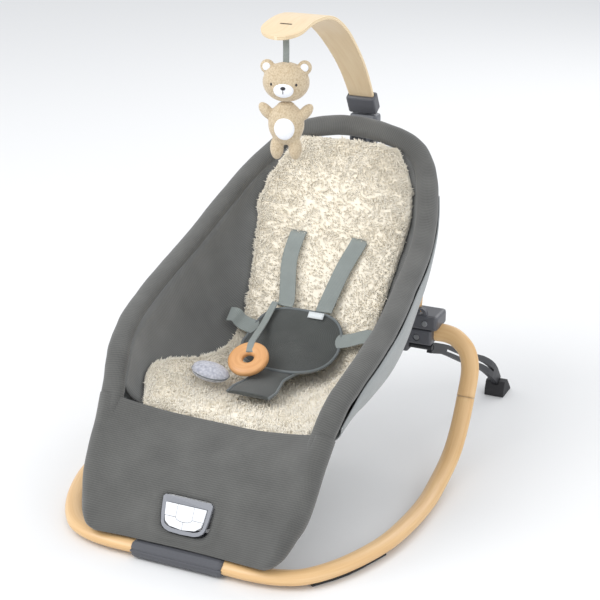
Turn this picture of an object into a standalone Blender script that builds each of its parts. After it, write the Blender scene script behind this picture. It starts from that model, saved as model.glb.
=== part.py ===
"""A baby's bouncer seat on a rocking base of bent oval tube. Metres, +Z up, the foot end towards -Y.

Every size below is in the seat's own frame: X = 0 is the plane of symmetry, Y = 0 is just inside the foot end
and Z = 0 is the floor. The empty "floor_origin" then carries everything back, so that the world's
origin is on the floor under the middle of the whole seat.
"""

from math import cos, pi, radians, sin

import bmesh
import bpy
import numpy as np
from mathutils import Matrix, Vector

GAP = 0.0004  # between pieces that touch
RUN = 0.0008  # between a moving piece and its guide

# Rocking base
TUBE_WIDTH = 0.026
TUBE_HEIGHT = 0.018
TUBE_AXIS_Z = 0.0125
SEAT_HALF_WIDTH = 0.176  # to the axis of the seat's own frame tube, at the widest place
RUNNER_GAP = 0.0605  # from there out to the axis of the runner
RUNNER_X = SEAT_HALF_WIDTH + RUNNER_GAP
SLEEVE_Y = 0.0095
SLEEVE_LENGTH = 0.132
SLEEVE_WALL = 0.0016
RIB_PROUD = 0.0009
HUB_Y = 0.456
HUB_Z = 0.190  # the split between housing and cover
HUB_LENGTH = 0.056
HUB_DEPTH = 0.044
HUB_BELOW = 0.0225
HUB_ABOVE = 0.0225
HUB_OUTER_X = RUNNER_X - 0.0585
HUB_INNER_X = HUB_OUTER_X - HUB_LENGTH
SOCKET_Z = 0.1825
SOCKET_DEPTH = 0.020
CROSS_TUBE_RADIUS = 0.008
STAY_RADIUS = 0.0065

# Kickstand
PIVOT_Y = 0.457
PIVOT_Z = 0.156
PIVOT_ROD_RADIUS = 0.004
LEG_THICKNESS = 0.008
LEG_X = HUB_OUTER_X - 0.009
FOOT_END_Y = 0.703
FOOT_OUTER_X = RUNNER_X - 0.0135
FOOT_WIDTH = 0.031
FOOT_LENGTH = 0.041
FOOT_HEIGHT = 0.024

# Seat
FRAME_TUBE_RADIUS = 0.0075
BAND_HALF_WIDTH = 0.0155
BAND_HALF_THICKNESS = 0.0125
PANEL_THICKNESS = 0.003
SLING_THICKNESS = 0.003
COVER_GAP = 0.006
COVER_THICKNESS = 0.002
PLUSH_GAP = 0.003
PLUSH_THICKNESS = 0.014
STRAP_WIDTH = 0.025
STRAP_THICKNESS = 0.0018
PAD_TOP_THICKNESS = 0.011

# Control unit
UNIT_Y = 0.0263
UNIT_Z = 0.0600
UNIT_LEAN = radians(30)
UNIT_WIDTH = 0.071
UNIT_HEIGHT = 0.046
UNIT_DEPTH = 0.030
UNIT_WALL = 0.002
TRAY_WIDTH = 0.060
TRAY_HEIGHT = 0.033
TRAY_RISE = 0.004
BEZEL_THICKNESS = 0.004
KEYS_WIDTH = 0.058
KEYS_HEIGHT = 0.031
KEY_GAP = 0.0005
KEY_THICKNESS = 0.0045
KEY_PROUD = 0.0014

# Toy bar
BAR_BASE_Y = 0.605
BAR_BASE_Z = 0.466
BAR_THICKNESS = 0.006
BAR_ROOT_WIDTH = 0.038
BAR_END_WIDTH = 0.062
SWIVEL_Y = 0.613
SWIVEL_Z = 0.4495
RIBBON_LENGTH = 0.041
RIBBON_WIDTH = 0.009

# The frame tube's right half, from the middle of the foot end: share of SEAT_HALF_WIDTH, y, z
FRAME_UNDER_PANEL = (
    (0.000, 0.0275, 0.0345),
    (0.480, 0.0275, 0.0345),
    (0.640, 0.0270, 0.0380),
    (0.740, 0.0270, 0.0480),
    (0.782, 0.0305, 0.0614),
    (0.803, 0.0395, 0.0720),
    (0.823, 0.0500, 0.0857),
    (0.840, 0.0700, 0.1121),
    (0.848, 0.0900, 0.1367),
    (0.862, 0.1060, 0.1610),
)
FRAME_IN_RIM = (
    (0.873, 0.1160, 0.1735),
    (0.913, 0.1400, 0.2023),
    (0.948, 0.1600, 0.2176),
    (0.986, 0.2000, 0.2370),
    (1.000, 0.2500, 0.2537),
    (0.990, 0.3000, 0.2712),
    (0.966, 0.3500, 0.2886),
    (0.945, 0.4000, 0.3072),
    (0.900, 0.4500, 0.3327),
    (0.800, 0.5070, 0.3690),
    (0.679, 0.5480, 0.3967),
    (0.535, 0.5635, 0.4203),
    (0.283, 0.5680, 0.4340),
    (0.000, 0.5685, 0.4400),
)
# The sling hangs from the tube at these places: share of SEAT_HALF_WIDTH, tube y, z, lowest point y, z,
# and how much of the sling's width the plush insert covers
SLING_STATIONS = (
    (0.878, 0.1200, 0.1785, 0.1460, 0.1225, 0.88),
    (0.948, 0.1600, 0.2176, 0.1930, 0.1165, 0.94),
    (0.986, 0.2000, 0.2370, 0.2400, 0.1110, 0.92),
    (1.000, 0.2620, 0.2580, 0.3200, 0.1070, 0.78),
    (0.988, 0.3060, 0.2733, 0.3680, 0.1190, 0.70),
    (0.966, 0.3500, 0.2886, 0.4070, 0.1500, 0.68),
    (0.945, 0.4000, 0.3072, 0.4470, 0.2040, 0.72),
    (0.900, 0.4500, 0.3327, 0.4870, 0.2660, 0.82),
    (0.850, 0.4830, 0.3535, 0.5120, 0.3120, 0.92),
    (0.790, 0.5120, 0.3722, 0.5350, 0.3600, 0.92),
    (0.725, 0.5350, 0.3870, 0.5490, 0.3930, 0.87),
    (0.655, 0.5510, 0.4000, 0.5590, 0.4200, 0.78),
)
# The front panel's rows from the hem up: half width and y, z where it turns round the tube, the radius of
# that turn, the way it faces there (y, z), and the middle of the row (y, z)
PANEL_ROWS = (
    (0.658, 0.0020, 0.0256, 0.006, -0.85, 0.50, 0.0058, 0.0246),
    (0.711, 0.0032, 0.0314, 0.008, -0.85, 0.52, 0.0098, 0.0315),
    (0.751, 0.0120, 0.0406, 0.011, -0.82, 0.57, 0.0150, 0.0405),
    (0.766, 0.0213, 0.0510, 0.014, -0.80, 0.60, 0.0212, 0.0511),
    (0.782, 0.0303, 0.0614, 0.0155, -0.79, 0.61, 0.0280, 0.0630),
    (0.803, 0.0395, 0.0718, 0.0165, -0.77, 0.64, 0.0350, 0.0755),
    (0.823, 0.0500, 0.0857, 0.0165, -0.77, 0.64, 0.0440, 0.0905),
    (0.840, 0.0700, 0.1121, 0.0165, -0.76, 0.65, 0.0725, 0.1120),
    (0.848, 0.0900, 0.1367, 0.0165, -0.76, 0.65, 0.1040, 0.1300),
    (0.865, 0.1090, 0.1650, 0.0165, -0.75, 0.66, 0.1340, 0.1435),
)
# The runner's right half, from the sleeve back and up to the hub: distance inside RUNNER_X, y, z
RUNNER_FRONT = (
    (0.0955, 0.0165, TUBE_AXIS_Z),
    (0.0675, 0.0340, TUBE_AXIS_Z),
    (0.0375, 0.0775, TUBE_AXIS_Z),
    (0.0130, 0.1405, TUBE_AXIS_Z),
    (0.0030, 0.2010, TUBE_AXIS_Z),
    (0.0000, 0.2620, 0.0127),
    (0.0000, 0.3060, 0.0185),
    (0.0000, 0.3640, 0.0365),
    (0.0000, 0.3980, 0.0640),
)
RUNNER_JOINT = (0.0000, 0.4240, 0.1040)
RUNNER_TOP = (
    (0.0004, 0.4400, 0.1400),
    (0.0085, 0.4480, 0.1640),
    (0.0260, 0.4540, 0.1780),
    (0.0420, HUB_Y, 0.1822),
)
# The toy bar's middle line: distance forward of its root and height above it
BAR_LINE = (
    (0.000, 0.000),
    (0.009, 0.0165),
    (0.040, 0.0585),
    (0.077, 0.0955),
    (0.122, 0.1310),
    (0.168, 0.1550),
    (0.205, 0.1645),
    (0.240, 0.1665),
    (0.273, 0.1625),
    (0.305, 0.1530),
)
SLOT_AT = (0.273, 0.1625)

PAD_HALF_WIDTH = 0.0725
PAD_SHIFT = -0.0065  # the pad lies a little off the middle
RING_OUTER_RADIUS = 0.0295
RING_HOLE_RADIUS = 0.0080
RING_THICKNESS = 0.0120
CROSS_TUBE_AT = (HUB_Y + 0.011, HUB_Z - 0.004)  # y, z
STAY_Y = HUB_Y - 0.006
SLING_POWER = 0.78  # under 1 the bucket's rows are fuller than an ellipse
COVER_POWER = 1.0

COLLECTION = "bouncer_seat"
SIDES = (("left", -1), ("right", 1))

# Looks: colour, roughness, metallic
WOOD_TUBE = ("wood_tube", (0.69, 0.45, 0.21), 0.45, 0)
DARK_PLASTIC = ("dark_plastic", (0.09, 0.09, 0.10), 0.5, 0)
BLACK_METAL = ("black_metal", (0.03, 0.03, 0.033), 0.4, 0.6)
STEEL = ("steel", (0.55, 0.56, 0.57), 0.3, 1)
RUBBER = ("rubber", (0.02, 0.02, 0.02), 0.85, 0)
MESH_FABRIC = ("mesh_fabric", (0.10, 0.10, 0.10), 0.9, 0)
LIGHT_FABRIC = ("light_fabric", (0.30, 0.33, 0.33), 0.9, 0)
PLUSH = ("plush", (0.82, 0.72, 0.55), 1.0, 0)
WEBBING = ("webbing", (0.27, 0.30, 0.29), 0.8, 0)
GREY_PLASTIC = ("grey_plastic", (0.22, 0.23, 0.25), 0.45, 0)
WHITE_PLASTIC = ("white_plastic", (0.82, 0.83, 0.85), 0.4, 0)
BENT_WOOD = ("bent_wood", (0.75, 0.60, 0.38), 0.5, 0)
BEAR_PLUSH = ("bear_plush", (0.61, 0.51, 0.39), 1.0, 0)
RING_WOOD = ("ring_wood", (0.75, 0.42, 0.18), 0.4, 0)
TOY_FABRIC = ("toy_fabric", (0.50, 0.50, 0.58), 0.9, 0)


# ---------------------------------------------------------------- building blocks


def material(look):
    """The Principled material of a look, made once."""
    name, colour, roughness, metallic = look
    made = bpy.data.materials.get(name)
    if made:
        return made
    made = bpy.data.materials.new(name)
    made.use_nodes = True
    shader = made.node_tree.nodes["Principled BSDF"]
    shader.inputs["Base Color"].default_value = (*colour, 1)
    shader.inputs["Roughness"].default_value = roughness
    shader.inputs["Metallic"].default_value = metallic
    made.diffuse_color = (*colour, 1)
    return made


def empty(name, place, parent=None):
    """A joint's axis, or the origin that everything hangs on, at a place in the seat's frame."""
    made = bpy.data.objects.new(name, None)
    parts.objects.link(made)
    made.parent = parent
    made.location = place
    return made


def piece(name, mesh, look, pivot=None):
    """One named sub-part. Its mesh is in the seat's frame; with a pivot its origin moves to that axis."""
    holder = pivot or origin
    if pivot:
        mesh.transform(Matrix.Translation(-pivot.location))
    mesh.materials.clear()
    mesh.materials.append(material(look))
    mesh.shade_smooth()
    mesh.set_sharp_from_angle(angle=radians(35))
    made = bpy.data.objects.new(name, mesh)
    parts.objects.link(made)
    made.parent = holder
    return made


def boolean(target, mesh, operation):
    """Cuts a mesh, given in the seat's frame, out of a sub-part, or joins it on."""
    tool = bpy.data.objects.new(f"{target.name}_{operation.lower()}", mesh)
    cutters.objects.link(tool)
    tool.parent = origin
    tool.hide_render = True
    tool.display_type = "WIRE"
    modifier = target.modifiers.new(tool.name, "BOOLEAN")
    modifier.operation = operation
    modifier.object = tool
    return target


def cut(target, mesh):
    return boolean(target, mesh, "DIFFERENCE")


def join(target, mesh):
    return boolean(target, mesh, "UNION")


def thicken(target, thickness, offset=1.0, even=True):
    """Turns an open surface into a sheet. Offset 1 grows it along the surface's normals."""
    modifier = target.modifiers.new("sheet", "SOLIDIFY")
    modifier.thickness = thickness
    modifier.offset = offset
    modifier.use_even_offset = even
    return target


def mesh_of(build, name="mesh"):
    """The mesh of a bmesh, freed."""
    bmesh.ops.recalc_face_normals(build, faces=build.faces)
    mesh = bpy.data.meshes.new(name)
    build.to_mesh(mesh)
    build.free()
    return mesh


def block(size, centre, turn=None, bevel=0.0, segments=2):
    """A box, its edges rounded by the bevel, turned about its centre."""
    build = bmesh.new()
    bmesh.ops.create_cube(build, size=1)
    bmesh.ops.scale(build, vec=size, verts=build.verts)
    if bevel:
        bmesh.ops.bevel(build, geom=build.edges[:], offset=bevel, segments=segments, affect="EDGES", profile=0.5)
    place = Matrix.Translation(centre) @ (turn or Matrix()).to_4x4()
    bmesh.ops.transform(build, matrix=place, verts=build.verts)
    return mesh_of(build)


def rod(start, end, radius, end_radius=None, sides=16):
    """A straight round bar or cone between two points."""
    start, end = Vector(start), Vector(end)
    build = bmesh.new()
    bmesh.ops.create_cone(
        build,
        cap_ends=True,
        segments=sides,
        radius1=radius,
        radius2=radius if end_radius is None else end_radius,
        depth=(end - start).length,
    )
    place = Matrix.Translation((start + end) / 2) @ (end - start).to_track_quat("Z", "Y").to_matrix().to_4x4()
    bmesh.ops.transform(build, matrix=place, verts=build.verts)
    return mesh_of(build)


def ball(radii, centre, turn=None, across=16, along=10):
    """An ellipsoid."""
    build = bmesh.new()
    bmesh.ops.create_uvsphere(build, u_segments=across, v_segments=along, radius=1)
    place = Matrix.Translation(centre) @ (turn or Matrix()).to_4x4() @ Matrix.Diagonal((*radii, 1))
    bmesh.ops.transform(build, matrix=place, verts=build.verts)
    return mesh_of(build)


def smooth(points, per_span=4, closed=False):
    """Points on the smooth curve that runs through the given ones."""
    known = np.array(points, float)
    count = len(known)
    curve = []
    for i in range(count if closed else count - 1):
        here, there = known[i], known[(i + 1) % count]
        before = known[i - 1] if closed or i else 2 * here - there
        after = known[(i + 2) % count] if closed or i + 2 < count else 2 * there - here
        for t in np.arange(per_span) / per_span:
            bend = 2 * before - 5 * here + 4 * there - after + t * (3 * here - before - 3 * there + after)
            curve.append(here + t / 2 * (there - before + t * bend))
    if not closed:
        curve.append(known[-1])
    return np.array(curve)


def section(name, half_width, half_height, corners=12, flat=False):
    """An oval to sweep along a curve, or with flat an oblong. half_width lies level where the curve starts."""
    data = bpy.data.curves.new(name, "CURVE")
    data.dimensions = "2D"
    spline = data.splines.new("POLY")
    turns = [2 * pi * i / corners for i in range(corners)]
    points = [(half_width * cos(turn), half_height * sin(turn)) for turn in turns]
    if flat:
        inner = half_width - half_height * 0.4
        quarter = [(half_width, half_height * 0.6), (inner, half_height)]
        half = quarter + [(-x, y) for x, y in quarter[::-1]]
        points = half + [(-x, -y) for x, y in half]
    spline.points.add(len(points) - 1)
    for point, (x, y) in zip(spline.points, points):
        point.co = (x, y, 0, 1)
    spline.use_cyclic_u = True
    made = bpy.data.objects.new(name, data)
    made.hide_render = True
    made.display_type = "WIRE"
    cutters.objects.link(made)
    return made


def sweep(points, radius=0.0, oval=None, closed=False):
    """The closed mesh of a round or oval bar along points, its caps welded on."""
    data = bpy.data.curves.new("sweep", "CURVE")
    data.dimensions = "3D"
    data.fill_mode = "FULL"
    data.twist_mode = "MINIMUM"
    data.use_fill_caps = not closed
    spline = data.splines.new("POLY")
    spline.points.add(len(points) - 1)
    for point, place in zip(spline.points, points):
        point.co = (*place, 1)
    spline.use_cyclic_u = closed
    if oval:
        data.bevel_mode = "OBJECT"
        data.bevel_object = oval
    else:
        data.bevel_depth = radius
        data.bevel_resolution = 2
    guide = bpy.data.objects.new("sweep", data)
    bpy.context.scene.collection.objects.link(guide)
    graph = bpy.context.evaluated_depsgraph_get()
    build = bmesh.new()
    build.from_mesh(bpy.data.meshes.new_from_object(guide.evaluated_get(graph)))
    bmesh.ops.remove_doubles(build, verts=build.verts, dist=1e-6)
    bpy.data.objects.remove(guide)
    return mesh_of(build)


def surface(rows, name="surface"):
    """An open surface through rows of points. Its normals are to the left of a row, seen along the rows."""
    rows = np.array(rows, float)
    down, along = rows.shape[:2]
    build = bmesh.new()
    grid = [[build.verts.new(point) for point in row] for row in rows]
    for i in range(down - 1):
        for j in range(along - 1):
            build.faces.new((grid[i][j], grid[i][j + 1], grid[i + 1][j + 1], grid[i + 1][j]))
    mesh = bpy.data.meshes.new(name)
    build.to_mesh(mesh)
    build.free()
    return mesh


def strip(line, across, widths):
    """An open ribbon along a line, its width lying along the across direction."""
    line, across = np.array(line, float), np.array(across, float)
    across /= np.linalg.norm(across)
    widths = np.broadcast_to(np.array(widths, float), len(line))
    return surface([[point + across * width * share for share in (-0.5, 0, 0.5)] for point, width in zip(line, widths)])


def outline_prism(outline, depth, place):
    """A flat outline, drawn in x and y, made into a plate of the depth behind z = 0, then placed."""
    build = bmesh.new()
    corners = [build.verts.new((x, y, 0)) for x, y in outline]
    face = build.faces.new(corners)
    grown = bmesh.ops.extrude_face_region(build, geom=[face])
    moved = [item for item in grown["geom"] if isinstance(item, bmesh.types.BMVert)]
    bmesh.ops.translate(build, vec=(0, 0, -depth), verts=moved)
    bmesh.ops.transform(build, matrix=place, verts=build.verts)
    return mesh_of(build)


def mirrored(points):
    """The same line on the other side of X = 0."""
    return [(-x, y, z) for x, y, z in points]


def sided(points, side):
    return [(side * x, y, z) for x, y, z in points]


# ---------------------------------------------------------------- rocking base


def runner_points(offsets):
    return [(RUNNER_X - inside, y, z) for inside, y, z in offsets]


def front_sleeve():
    """A short extruded sleeve joins the two runners; a ledge behind it carries the seat's clamps."""
    depth, height = TUBE_WIDTH + 2 * SLEEVE_WALL, TUBE_HEIGHT + 2 * SLEEVE_WALL
    centre = (0, SLEEVE_Y, TUBE_AXIS_Z)
    sleeve = piece("front_sleeve", block((SLEEVE_LENGTH, depth, height), centre, bevel=0.006), DARK_PLASTIC)
    ledge_back = FRAME_UNDER_PANEL[0][1] + 0.011
    ledge = (SLEEVE_LENGTH - 0.008, ledge_back - SLEEVE_Y, 0.008)
    top = TUBE_AXIS_Z + height / 2
    join(sleeve, block(ledge, (0, (ledge_back + SLEEVE_Y) / 2, top - 0.0042), bevel=0.0015))
    rib_y = SLEEVE_Y - depth / 2 - RIB_PROUD + 0.0015
    rib = block((SLEEVE_LENGTH - 0.002, 0.003, 0.003), (0, rib_y, TUBE_AXIS_Z), bevel=0.0008)
    join(sleeve, rib)
    bore = section("sleeve_bore", TUBE_WIDTH / 2 + GAP, TUBE_HEIGHT / 2 + GAP)
    reach = SLEEVE_LENGTH / 2 + 0.01
    cut(sleeve, sweep([(-reach, SLEEVE_Y, TUBE_AXIS_Z), (reach, SLEEVE_Y, TUBE_AXIS_Z)], oval=bore))


def runner_line():
    """The runner's whole middle line on the right, and the place in it of the joint between its two lengths."""
    start = [(x, SLEEVE_Y, TUBE_AXIS_Z) for x in (GAP, 0.055, 0.105)]
    front = start + runner_points(RUNNER_FRONT)
    end = [(HUB_OUTER_X + 0.001, HUB_Y, SOCKET_Z), (HUB_OUTER_X - SOCKET_DEPTH, HUB_Y, SOCKET_Z)]
    whole = smooth(front + runner_points((RUNNER_JOINT, *RUNNER_TOP)) + end, per_span=3)
    return whole, len(front) * 3


def runners():
    """The oval tube of the base: a front length from the sleeve, and a rear length up into each hub."""
    oval = section("tube_section", TUBE_WIDTH / 2, TUBE_HEIGHT / 2)
    whole, split = runner_line()
    joint = Vector(whole[split])
    along = (Vector(whole[split + 1]) - Vector(whole[split - 1])).normalized()
    seam, straight = np.array(along * GAP / 2), np.array(along * 0.003)
    plug_length, plug_radius = 0.008, 0.005  # the rear length's swaged end
    for name, side in SIDES:
        flip = Vector((side, 1, 1))
        first = sided([*whole[:split], whole[split] - straight, whole[split] - seam], side)
        second = sided([whole[split] + seam, whole[split] + straight, *whole[split + 1 :]], side)
        tube = piece(f"rocker_front_{name}", sweep(first, oval=oval), WOOD_TUBE)
        hole_start = (joint - along * (plug_length + GAP)) * flip
        cut(tube, rod(hole_start, (joint + along * 0.01) * flip, plug_radius + GAP, sides=12))
        upper = piece(f"rocker_rear_{name}", sweep(second, oval=oval), WOOD_TUBE)
        join(upper, rod((joint - along * plug_length) * flip, (joint + along * 0.012) * flip, plug_radius, sides=12))


def rubber_pads():
    """A flat rubber pad glued under each front corner of the base, which the seat stands on."""
    thickness = TUBE_AXIS_Z - TUBE_HEIGHT / 2 - GAP
    flat = section("pad_section", 0.007, thickness / 2, flat=True)
    outline = runner_points(RUNNER_FRONT[1:4])
    for name, side in SIDES:
        line = [(x, y, thickness / 2) for x, y, _ in smooth(sided(outline, side), per_span=3)]
        piece(f"rubber_pad_{name}", sweep(line, oval=flat), RUBBER)


def hubs():
    """On each side a housing with a cover takes the runner's end, the cross tube, a stay and the kickstand."""
    middle_x = (HUB_OUTER_X + HUB_INNER_X) / 2
    whole, split = runner_line()
    socket = section("hub_socket", TUBE_WIDTH / 2 + GAP, TUBE_HEIGHT / 2 + GAP)
    tail = [*whole[split:], whole[-1] - np.array((GAP, 0, 0))]
    front = HUB_Y - HUB_DEPTH / 2
    top = HUB_Z + HUB_ABOVE
    for name, side in SIDES:
        lower_size = (HUB_LENGTH, HUB_DEPTH, HUB_BELOW)
        lower_at = (side * middle_x, HUB_Y, HUB_Z - HUB_BELOW / 2)
        housing = piece(f"hub_housing_{name}", block(lower_size, lower_at, bevel=0.003), DARK_PLASTIC)
        upper_size = (HUB_LENGTH + 0.008, HUB_DEPTH, HUB_ABOVE - GAP)
        upper_at = (side * (middle_x + 0.004), HUB_Y, HUB_Z + GAP + (HUB_ABOVE - GAP) / 2)
        lid = piece(f"hub_cover_{name}", block(upper_size, upper_at, bevel=0.0045), DARK_PLASTIC)
        ear_x = side * (HUB_INNER_X + 0.010)
        ear_bottom = PIVOT_Z - PIVOT_ROD_RADIUS - 0.004
        ear_height = HUB_Z - HUB_BELOW + 0.004 - ear_bottom
        join(housing, block((0.014, 0.022, ear_height), (ear_x, PIVOT_Y, ear_bottom + ear_height / 2), bevel=0.003))
        lug_x = side * (HUB_OUTER_X - 0.0180)
        join(lid, rod((lug_x, front + 0.003, top + 0.001), (lug_x, front + 0.011, top + 0.001), 0.009))
        cut(lid, rod((lug_x, front - 0.01, top + 0.0035), (lug_x, front + 0.03, top + 0.0035), 0.0032, sides=12))
        for shell in (housing, lid):
            cut(shell, sweep(sided(tail, side), oval=socket))
        tube_end = side * (HUB_INNER_X + 0.016 + GAP)
        bore_start, bore_end = (side * (HUB_INNER_X - 0.01), *CROSS_TUBE_AT), (tube_end, *CROSS_TUBE_AT)
        for shell in (housing, lid):
            cut(shell, rod(bore_start, bore_end, CROSS_TUBE_RADIUS + GAP))
        pivot_bore = ((ear_x - 0.02, PIVOT_Y, PIVOT_Z), (ear_x + 0.02, PIVOT_Y, PIVOT_Z))
        cut(housing, rod(*pivot_bore, PIVOT_ROD_RADIUS + RUN, sides=12))
        for place, x in (("inner", HUB_OUTER_X - 0.0435), ("outer", HUB_OUTER_X - 0.0225)):
            at = Vector((side * x, front, HUB_Z - 0.012))
            cut(housing, rod(at - Vector((0, 0.01, 0)), at + Vector((0, 0.003, 0)), 0.0052, sides=12))
            head = rod(at + Vector((0, 0.0008, 0)), at + Vector((0, 0.003 - GAP, 0)), 0.0042, sides=12)
            piece(f"hub_screw_{name}_{place}", head, STEEL)
        bolt_at = Vector((side * (HUB_OUTER_X - 0.0095), front, HUB_Z + 0.0115))
        bolt = rod(bolt_at - Vector((0, 0.0025, 0)), bolt_at - Vector((0, GAP, 0)), 0.0042, sides=12)
        piece(f"hub_bolt_{name}", bolt, STEEL)


def cross_tube():
    """A steel tube behind the seat that ties the two hubs together."""
    reach = HUB_INNER_X + 0.016
    piece("hub_cross_tube", rod((-reach, *CROSS_TUBE_AT), (reach, *CROSS_TUBE_AT), CROSS_TUBE_RADIUS), BLACK_METAL)


def seat_stays():
    """A short wood-faced stay from each hub up through the fabric to the seat's frame tube."""
    x = HUB_OUTER_X - 0.0285
    rim_x = 0.901 * SEAT_HALF_WIDTH
    foot, under_rim = Vector((x, STAY_Y, HUB_Z + HUB_ABOVE - 0.010)), Vector((rim_x, STAY_Y, 0.3345))
    up = (under_rim - foot).normalized()
    head = under_rim - up * (FRAME_TUBE_RADIUS + 0.0055)
    for name, side in SIDES:
        flip = Vector((side, 1, 1))
        piece(f"seat_stay_{name}", rod(foot * flip, head * flip, STAY_RADIUS), WOOD_TUBE)
        socket = rod((foot - up * GAP) * flip, (head + up * 0.002) * flip, STAY_RADIUS + GAP)
        cut(bpy.data.objects[f"hub_cover_{name}"], socket)
        for skin in ("back_cover", "rim_band"):
            hole = rod((foot + up * 0.006) * flip, (head + up * 0.002) * flip, STAY_RADIUS + 2 * GAP)
            cut(bpy.data.objects[skin], hole)


# ---------------------------------------------------------------- kickstand


def kickstand():
    """A rod in the hubs' ears carries two curved legs with feet; it folds forward under the seat."""
    pivot = empty("kickstand_pivot", (0, PIVOT_Y, PIVOT_Z), origin)
    reach = LEG_X + LEG_THICKNESS / 2
    rod_mesh = rod((-reach, PIVOT_Y, PIVOT_Z), (reach, PIVOT_Y, PIVOT_Z), PIVOT_ROD_RADIUS, sides=12)
    piece("kickstand_rod", rod_mesh, BLACK_METAL, pivot)
    foot_x = FOOT_OUTER_X - FOOT_WIDTH / 2
    # The leg's middle line: x, y, z, and its half height there
    line = (
        (LEG_X, PIVOT_Y, PIVOT_Z, 0.0080),
        (LEG_X + 0.009, 0.499, 0.1380, 0.0075),
        (LEG_X + 0.019, 0.556, 0.1055, 0.0085),
        (LEG_X + 0.030, 0.611, 0.0770, 0.0105),
        (foot_x, 0.6437, 0.0520, 0.0115),
        (foot_x, 0.6780, 0.0200, 0.0080),
    )
    for name, side in SIDES:
        curve = smooth(line, per_span=3)
        rows = []
        for (x, y, z, half), ahead in zip(curve, np.gradient(curve, axis=0)):
            up = np.array((0, -ahead[2], ahead[1])) / np.hypot(ahead[1], ahead[2])
            rows.append([np.array((side * x, y, z)) + up * half * share for share in (-1, 0, 1)])
        leg = piece(f"kickstand_leg_{name}", surface(rows), BLACK_METAL, pivot)
        thicken(leg, LEG_THICKNESS, 0)
        bore = ((side * 0.01, PIVOT_Y, PIVOT_Z), (side * 0.3, PIVOT_Y, PIVOT_Z))
        cut(leg, rod(*bore, PIVOT_ROD_RADIUS + GAP, sides=12))
        slot = [np.array((side * x, y, z)) for x, y, z, _ in curve[3:13]]
        cut(leg, sweep(slot, oval=section(f"leg_slot_{name}", 0.02, 0.0020, corners=8)))
        back, low = FOOT_LENGTH, 0.0
        outline = ((0, low), (back, low), (back - 0.004, 0.005), (0.020, FOOT_HEIGHT), (0.006, FOOT_HEIGHT), (0, 0.010))
        lie = Matrix(((0, 0, -1, 0), (1, 0, 0, 0), (0, 1, 0, 0), (0, 0, 0, 1)))
        place = Matrix.Translation((side * foot_x - FOOT_WIDTH / 2, FOOT_END_Y - FOOT_LENGTH, 0)) @ lie
        shoe = piece(f"kickstand_foot_{name}", outline_prism(outline, FOOT_WIDTH, place), RUBBER, pivot)
        pocket_rows = []
        for (x, y, z, half), ahead in zip(curve[9:], np.gradient(curve, axis=0)[9:]):
            up = np.array((0, -ahead[2], ahead[1])) / np.hypot(ahead[1], ahead[2])
            on = np.array((0, ahead[1], ahead[2])) / np.hypot(ahead[1], ahead[2])
            middle = np.array((side * x, y, z)) + on * 0.0008
            pocket_rows.append([middle + up * (half + 0.0006) * share for share in (-1, 0, 1)])
        pocket = bpy.data.objects.new(f"foot_pocket_{name}", surface(pocket_rows))
        cutters.objects.link(pocket)
        thicken(pocket, LEG_THICKNESS + 0.0012, 0)
        pocket.parent = origin
        pocket.hide_render = True
        pocket.display_type = "WIRE"
        groove = shoe.modifiers.new("pocket", "BOOLEAN")
        groove.operation = "DIFFERENCE"
        groove.object = pocket


# ---------------------------------------------------------------- seat


def scaled(stations):
    """Stations of the frame tube with their shares turned into X."""
    return [(share * SEAT_HALF_WIDTH, y, z) for share, y, z in stations]


def frame_tube():
    """The bent steel tube that runs right round the seat inside its panel and its padded rim."""
    half = scaled(FRAME_UNDER_PANEL + FRAME_IN_RIM)
    loop = half + mirrored(half[1:-1])[::-1]
    line = smooth(loop, per_span=2, closed=True)
    round_section = section("frame_section", FRAME_TUBE_RADIUS, FRAME_TUBE_RADIUS, corners=8)
    piece("seat_frame_tube", sweep(line, oval=round_section, closed=True), STEEL)


def rim_line():
    half = scaled(FRAME_UNDER_PANEL[-1:] + FRAME_IN_RIM)
    return smooth(half + mirrored(half[:-1])[::-1], per_span=2)[2:-2]


def rim_band():
    """The padded fabric band round the tube, from one front seam over the head end to the other."""
    line = rim_line()
    oval = section("band_section", BAND_HALF_WIDTH, BAND_HALF_THICKNESS, corners=14)
    band = piece("rim_band", sweep(line, oval=oval), MESH_FABRIC)
    start, end = line[0] - line[1], line[-1] - line[-2]
    bore = [line[0] + start, *line, line[-1] + end]
    round_bore = section("band_bore", FRAME_TUBE_RADIUS + 0.001, FRAME_TUBE_RADIUS + 0.001, corners=8)
    cut(band, sweep(bore, oval=round_bore))


def front_clamps():
    """Two clamps that hold the frame tube down on the front sleeve's ledge."""
    _, tube_y, tube_z = FRAME_UNDER_PANEL[0]
    bottom = TUBE_AXIS_Z + TUBE_HEIGHT / 2 + SLEEVE_WALL + GAP
    for name, side in SIDES:
        x = side * SLEEVE_LENGTH * 0.345
        height = tube_z - bottom
        body = block((0.018, 0.019, height), (x, tube_y, bottom + height / 2), bevel=0.0015)
        clamp = piece(f"front_clamp_{name}", body, DARK_PLASTIC)
        join(clamp, rod((x - 0.0085, tube_y, tube_z), (x + 0.0085, tube_y, tube_z), FRAME_TUBE_RADIUS + 0.0022))
        cut(clamp, rod((x - 0.02, tube_y, tube_z), (x + 0.02, tube_y, tube_z), FRAME_TUBE_RADIUS + 0.0006))


def outward(line):
    """For a line of y, z from the foot end to the head end, the unit directions that face down and back."""
    ahead = np.gradient(np.array(line), axis=0)
    away = np.stack([ahead[:, 1], -ahead[:, 0]], axis=1)
    return away / np.linalg.norm(away, axis=1)[:, None]


def hang(width, edge, low, power, shares):
    """A row across the bucket, hung from its two edges: full width at the edges, level at the lowest point."""
    row = []
    for share in shares:
        depth = max(0.0, 1 - abs(share) ** (2 / power)) ** (power / 2)
        y, z = edge + (low - edge) * depth
        row.append((width * share, y, z))
    return row


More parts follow.
